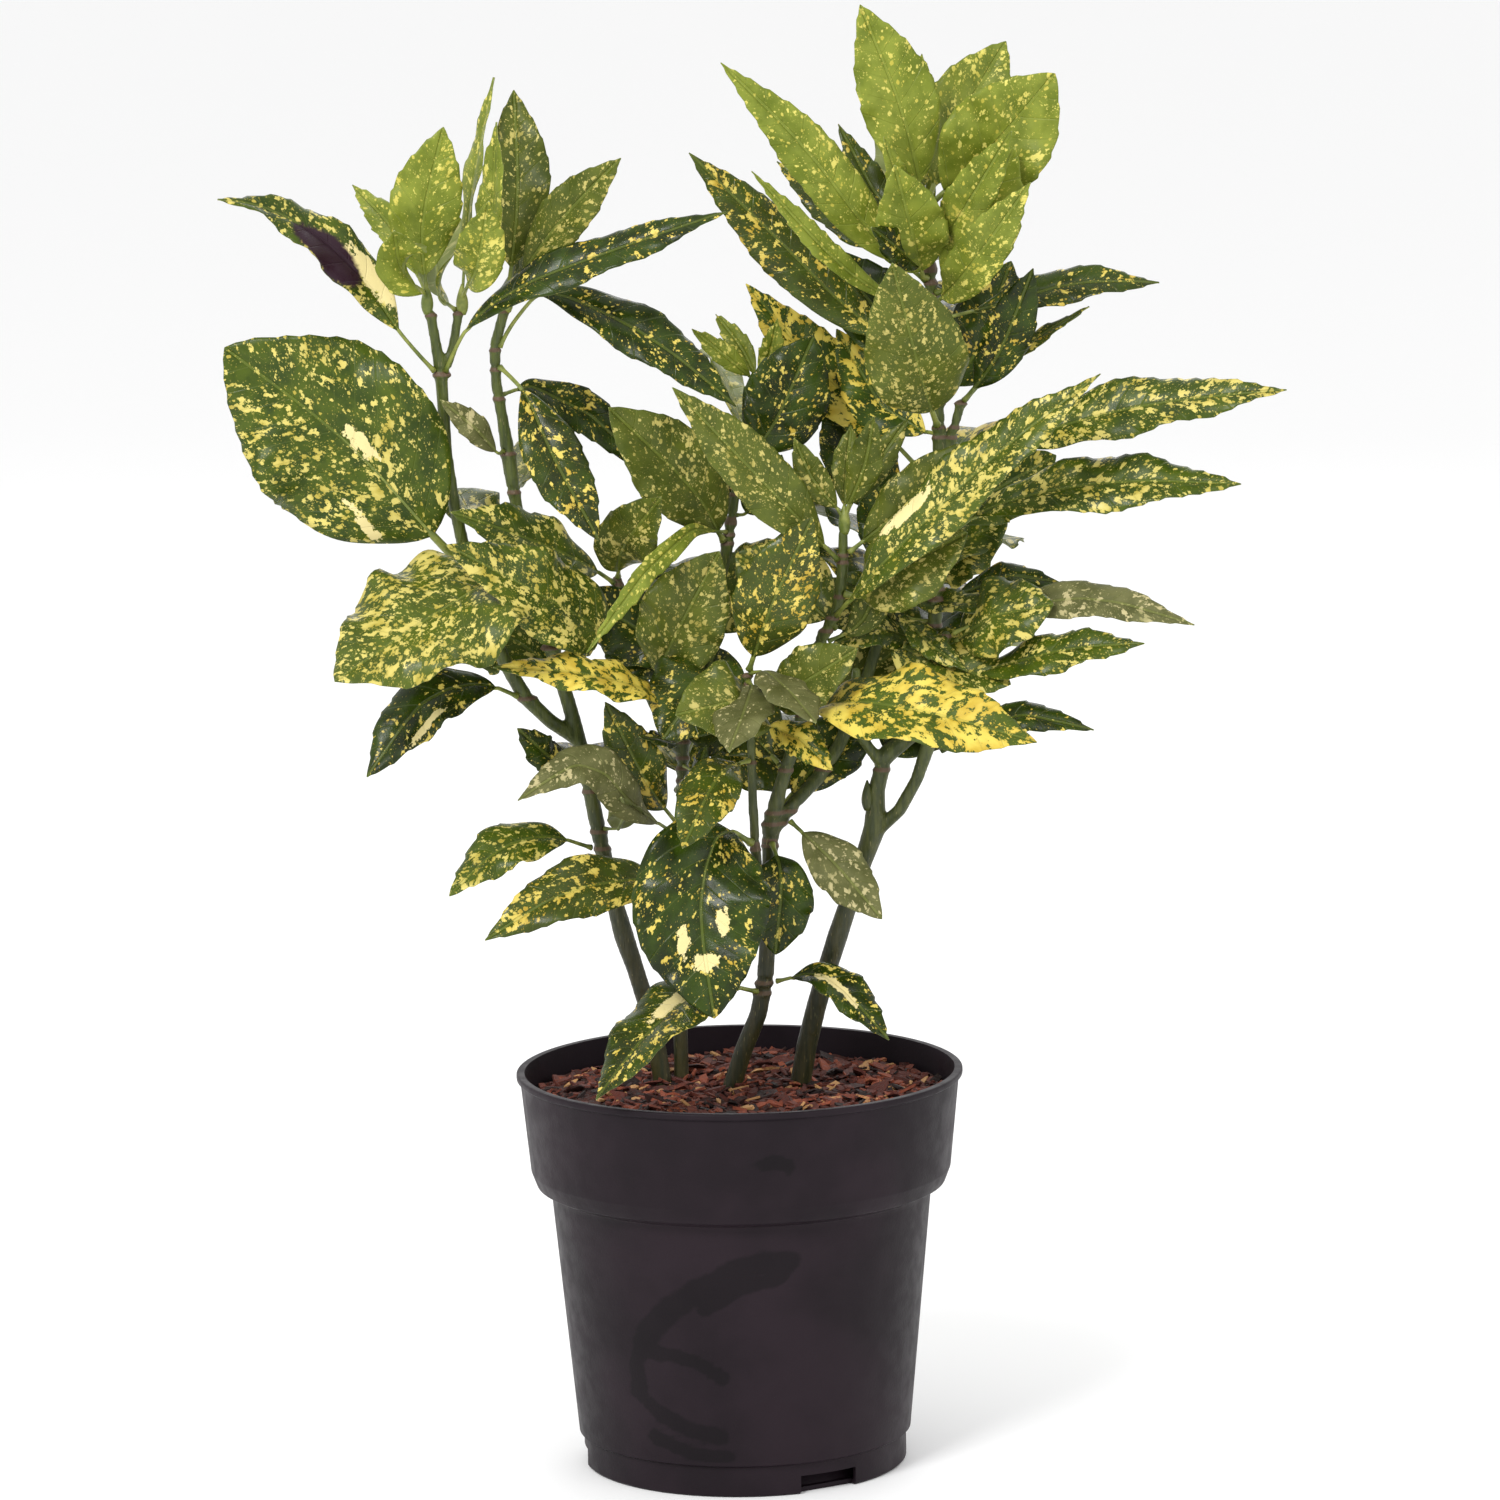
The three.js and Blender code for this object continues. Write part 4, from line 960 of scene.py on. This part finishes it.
def pot_material():
    graph = Graph("pot_plastic")
    place = graph.place_mm()
    mark = graph.value("mark")
    broken = graph.math("ADD", mark, graph.math("MULTIPLY", graph.noise(place, 0.09, 4.0), 1.1))
    stain = graph.step(broken, 0.80, 1.2, 0.0, 0.6)
    cloud = graph.step(graph.noise(place, 0.018, 3.0), 0.35, 0.65)
    base = graph.mix(cloud, rgb("1a1318"), rgb("231a20"))
    speck = graph.step(graph.noise(place, 1.3, 2.0), 0.70, 0.76, 0.0, 0.25)
    base = graph.mix(speck, base, rgb("352f33"))
    graph.set("Base Color", graph.mix(stain, base, rgb("0b090b")))
    rough = graph.step(graph.noise(place, 0.12, 4.0), 0.3, 0.7, 0.40, 0.52)
    graph.set("Roughness", graph.math("SUBTRACT", rough, graph.math("MULTIPLY", stain, 0.1)))
    graph.set("Specular IOR Level", 0.12)
    graph.bump(graph.noise(place, 0.9, 2.0), 0.06)
    return graph.material


def build_pot():
    points, faces = lathe_mesh(rounded(pot_profile()))
    piece = new_piece("pot_fine", points, faces, ["pot"])
    parts = []
    for turn in NOTCH_TURNS:
        place = Matrix.Rotation(turn, 4, "Z") @ Matrix.Translation((FOOT_RADIUS * MM, 0, 0))
        parts.append(("box", place, tuple(size * MM for size in NOTCH_SIZE)))
    for i in range(DRAIN_HOLES):
        turn = 2 * math.pi * (i + 0.5) / DRAIN_HOLES
        place = Vector((DRAIN_RADIUS * math.cos(turn), DRAIN_RADIUS * math.sin(turn), 5.0)) * MM
        parts.append(("drum", Matrix.Translation(place), (4 * MM, 20 * MM)))
    tool = cutter(parts)
    cut = piece.modifiers.new("cut", "BOOLEAN")
    cut.object = tool
    cut.solver = "EXACT"
    mesh = bpy.data.meshes.new_from_object(piece.evaluated_get(bpy.context.evaluated_depsgraph_get()))
    piece.modifiers.clear()
    piece.data = mesh
    bpy.data.objects.remove(tool)
    places = np.empty(len(mesh.vertices) * 3)
    mesh.vertices.foreach_get("co", places)
    attribute = mesh.attributes.new("mark", "FLOAT", "POINT")
    attribute.data.foreach_set("value", mark_values(places.reshape(-1, 3) / MM))
    mesh.polygons.foreach_set("use_smooth", [True] * len(mesh.polygons))
    mesh.set_sharp_from_angle(angle=math.radians(40))
    mesh.materials.clear()
    mesh.materials.append(MATERIALS["pot"])


# ---- Potting mix -------------------------------------------------------------------------------
CHIPS = 1500


def mix_material():
    graph = Graph("bark_mix")
    place = graph.place_mm()
    tone = graph.value("tone")
    grain = graph.noise(place, 0.9, 4.0)
    mixed = graph.math("ADD", tone, graph.math("MULTIPLY", graph.math("SUBTRACT", grain, 0.5), 0.5))
    dark = graph.mix(graph.step(mixed, 0.1, 0.5), rgb("1e0c08"), rgb("542318"))
    warm = graph.mix(graph.step(mixed, 0.5, 0.88), dark, rgb("8a442b"))
    graph.set("Base Color", graph.mix(graph.step(mixed, 0.9, 1.02), warm, rgb("b98a58")))
    graph.set("Roughness", graph.step(grain, 0.3, 0.7, 0.7, 0.95))
    graph.bump(grain, 0.6)
    return graph.material


def add_chip(rng, x, y, ground, most, points, faces, tones):
    """One tapered chip of bark, tilted, lying at x, y; most is the longest that fits there."""
    long = rng.gamma(2.6, 1.6) + 1.6
    long = min(long, 16.0, most)
    size = np.array([long, rng.uniform(0.18, 0.55) * long + 0.5, rng.uniform(0.5, 1.5)]) / 2
    tilt = Matrix.Rotation(rng.uniform(0, 6.28), 3, "Z") @ Matrix.Rotation(rng.normal(0, 0.35), 3, "X")
    tilt = tilt @ Matrix.Rotation(rng.normal(0, 0.3), 3, "Y")
    start = len(points)
    tone = float(np.clip(rng.normal(0.5, 0.28), 0.05, 1.1))
    for end in (-1, 0, 1):
        taper = 1.0 if end == 0 else rng.uniform(0.35, 0.9)
        for a, b in ((-1, -1), (1, -1), (1, 1), (-1, 1)):
            shake = rng.uniform(0.75, 1.15, 3)
            corner = Vector((end * size[0] * shake[0], a * size[1] * taper * shake[1],
                             b * size[2] * shake[2] + (0.25 * size[2] if end == 0 else 0)))
            corner = tilt @ corner
            points.append((x + corner.x, y + corner.y, ground + 0.5 + corner.z))
            tones.append(tone)
    for band in (0, 4):
        for i in range(4):
            j = (i + 1) % 4
            a, b = start + band + i, start + band + j
            faces.append((a, b, b + 4, a + 4))
    faces.append((start + 3, start + 2, start + 1, start))
    faces.append((start + 8, start + 9, start + 10, start + 11))


def build_mix():
    """The mound of the potting mix under a scatter of bark chips and splinters."""
    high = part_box("potting_mix")[1]
    tree = BVHTree.FromObject(frame["nodes"]["potting_mix"], bpy.context.evaluated_depsgraph_get())
    reach = (high.x - 0.004) / MM
    top = high.z / MM
    rng = rng_for("potting mix")

    def surface(x, y):
        hit = tree.ray_cast(Vector((x, y, top + 30)) * MM, Vector((0, 0, -1)))
        return hit[0].z / MM if hit[0] is not None else top - 3

    points, faces, tones = [], [], []
    rings, sides = 34, 110
    edge = high.x / MM
    for k in range(rings + 1):
        radius = max(edge * k / rings, 0.01)
        for i in range(sides):
            turn = 2 * math.pi * i / sides
            x, y = radius * math.cos(turn), radius * math.sin(turn)
            bumps = 0.9 * math.sin(x * 0.9 + y * 0.3) * math.sin(y * 1.1) + rng.normal(0, 0.35)
            ground = surface(x, y)
            ground = ground if ground > top - 8 else top - 3
            points.append((x, y, ground - 0.8 + bumps))
            tones.append(0.28)
    for k in range(rings):
        for i in range(sides):
            a, b = k * sides + i, k * sides + (i + 1) % sides
            faces.append((a, a + sides, b + sides, b))
    depth = len(points)
    for i in range(sides):
        turn = 2 * math.pi * i / sides
        points.append((edge * 0.93 * math.cos(turn), edge * 0.93 * math.sin(turn), top - 30))
        tones.append(0.2)
    outer = rings * sides
    for i in range(sides):
        j = (i + 1) % sides
        faces.append((outer + i, depth + i, depth + j, outer + j))
    faces.append(tuple(range(depth, depth + sides))[::-1])
    faces.append(tuple(range(sides)))
    for _ in range(CHIPS):
        radius = reach * math.sqrt(rng.uniform(0.0, 1.0))
        turn = rng.uniform(0, 2 * math.pi)
        x, y = radius * math.cos(turn), radius * math.sin(turn)
        ground = surface(x, y)
        if ground < top - 8:
            continue
        add_chip(rng, x, y, ground, max(3.0, 2 * (edge - radius)), points, faces, tones)
    piece = new_piece("potting_mix_fine", points, faces, ["potting_mix"])
    attribute = piece.data.attributes.new("tone", "FLOAT", "POINT")
    attribute.data.foreach_set("value", tones)
    piece.data.materials.append(MATERIALS["mix"])


# ---- Assembly ----------------------------------------------------------------------------------
set_camera()
set_light_and_floor()

MATERIALS = {"stalk": stalk_material(), "stem": stem_material(), "pot": pot_material(),
             "mix": mix_material()}
for look in LEAF_LOOKS:
    MATERIALS[look + "_upper"] = upper_material(look)
    MATERIALS[look + "_under"] = under_material(look)

bases = []
for leaf_node in LEAF_NODES:
    shape = single_leaf(leaf_node)
    bases.append(to_stem(shape.points[0])[0])
    build_leaf(leaf_node, [shape], SLOTS[leaf_node], [leaf_node])
for tip_node in CLUSTER_NODES:
    shapes, bud_place = cluster_leaves(tip_node)
    build_leaf(tip_node, shapes, SLOTS[tip_node], [tip_node], bud_place)
for label, kind, width, face, path in SMALL_LEAVES:
    shape = drawn_leaf(path, width, face)
    bases.append(shape.points[0])
    build_leaf("small_" + label, [shape], kind)
for stem in STEMS:
    build_stem(stem, bases)
add_bud("stem_dry", np.array(DRY_BUD), "stem")
build_pot()
build_mix()
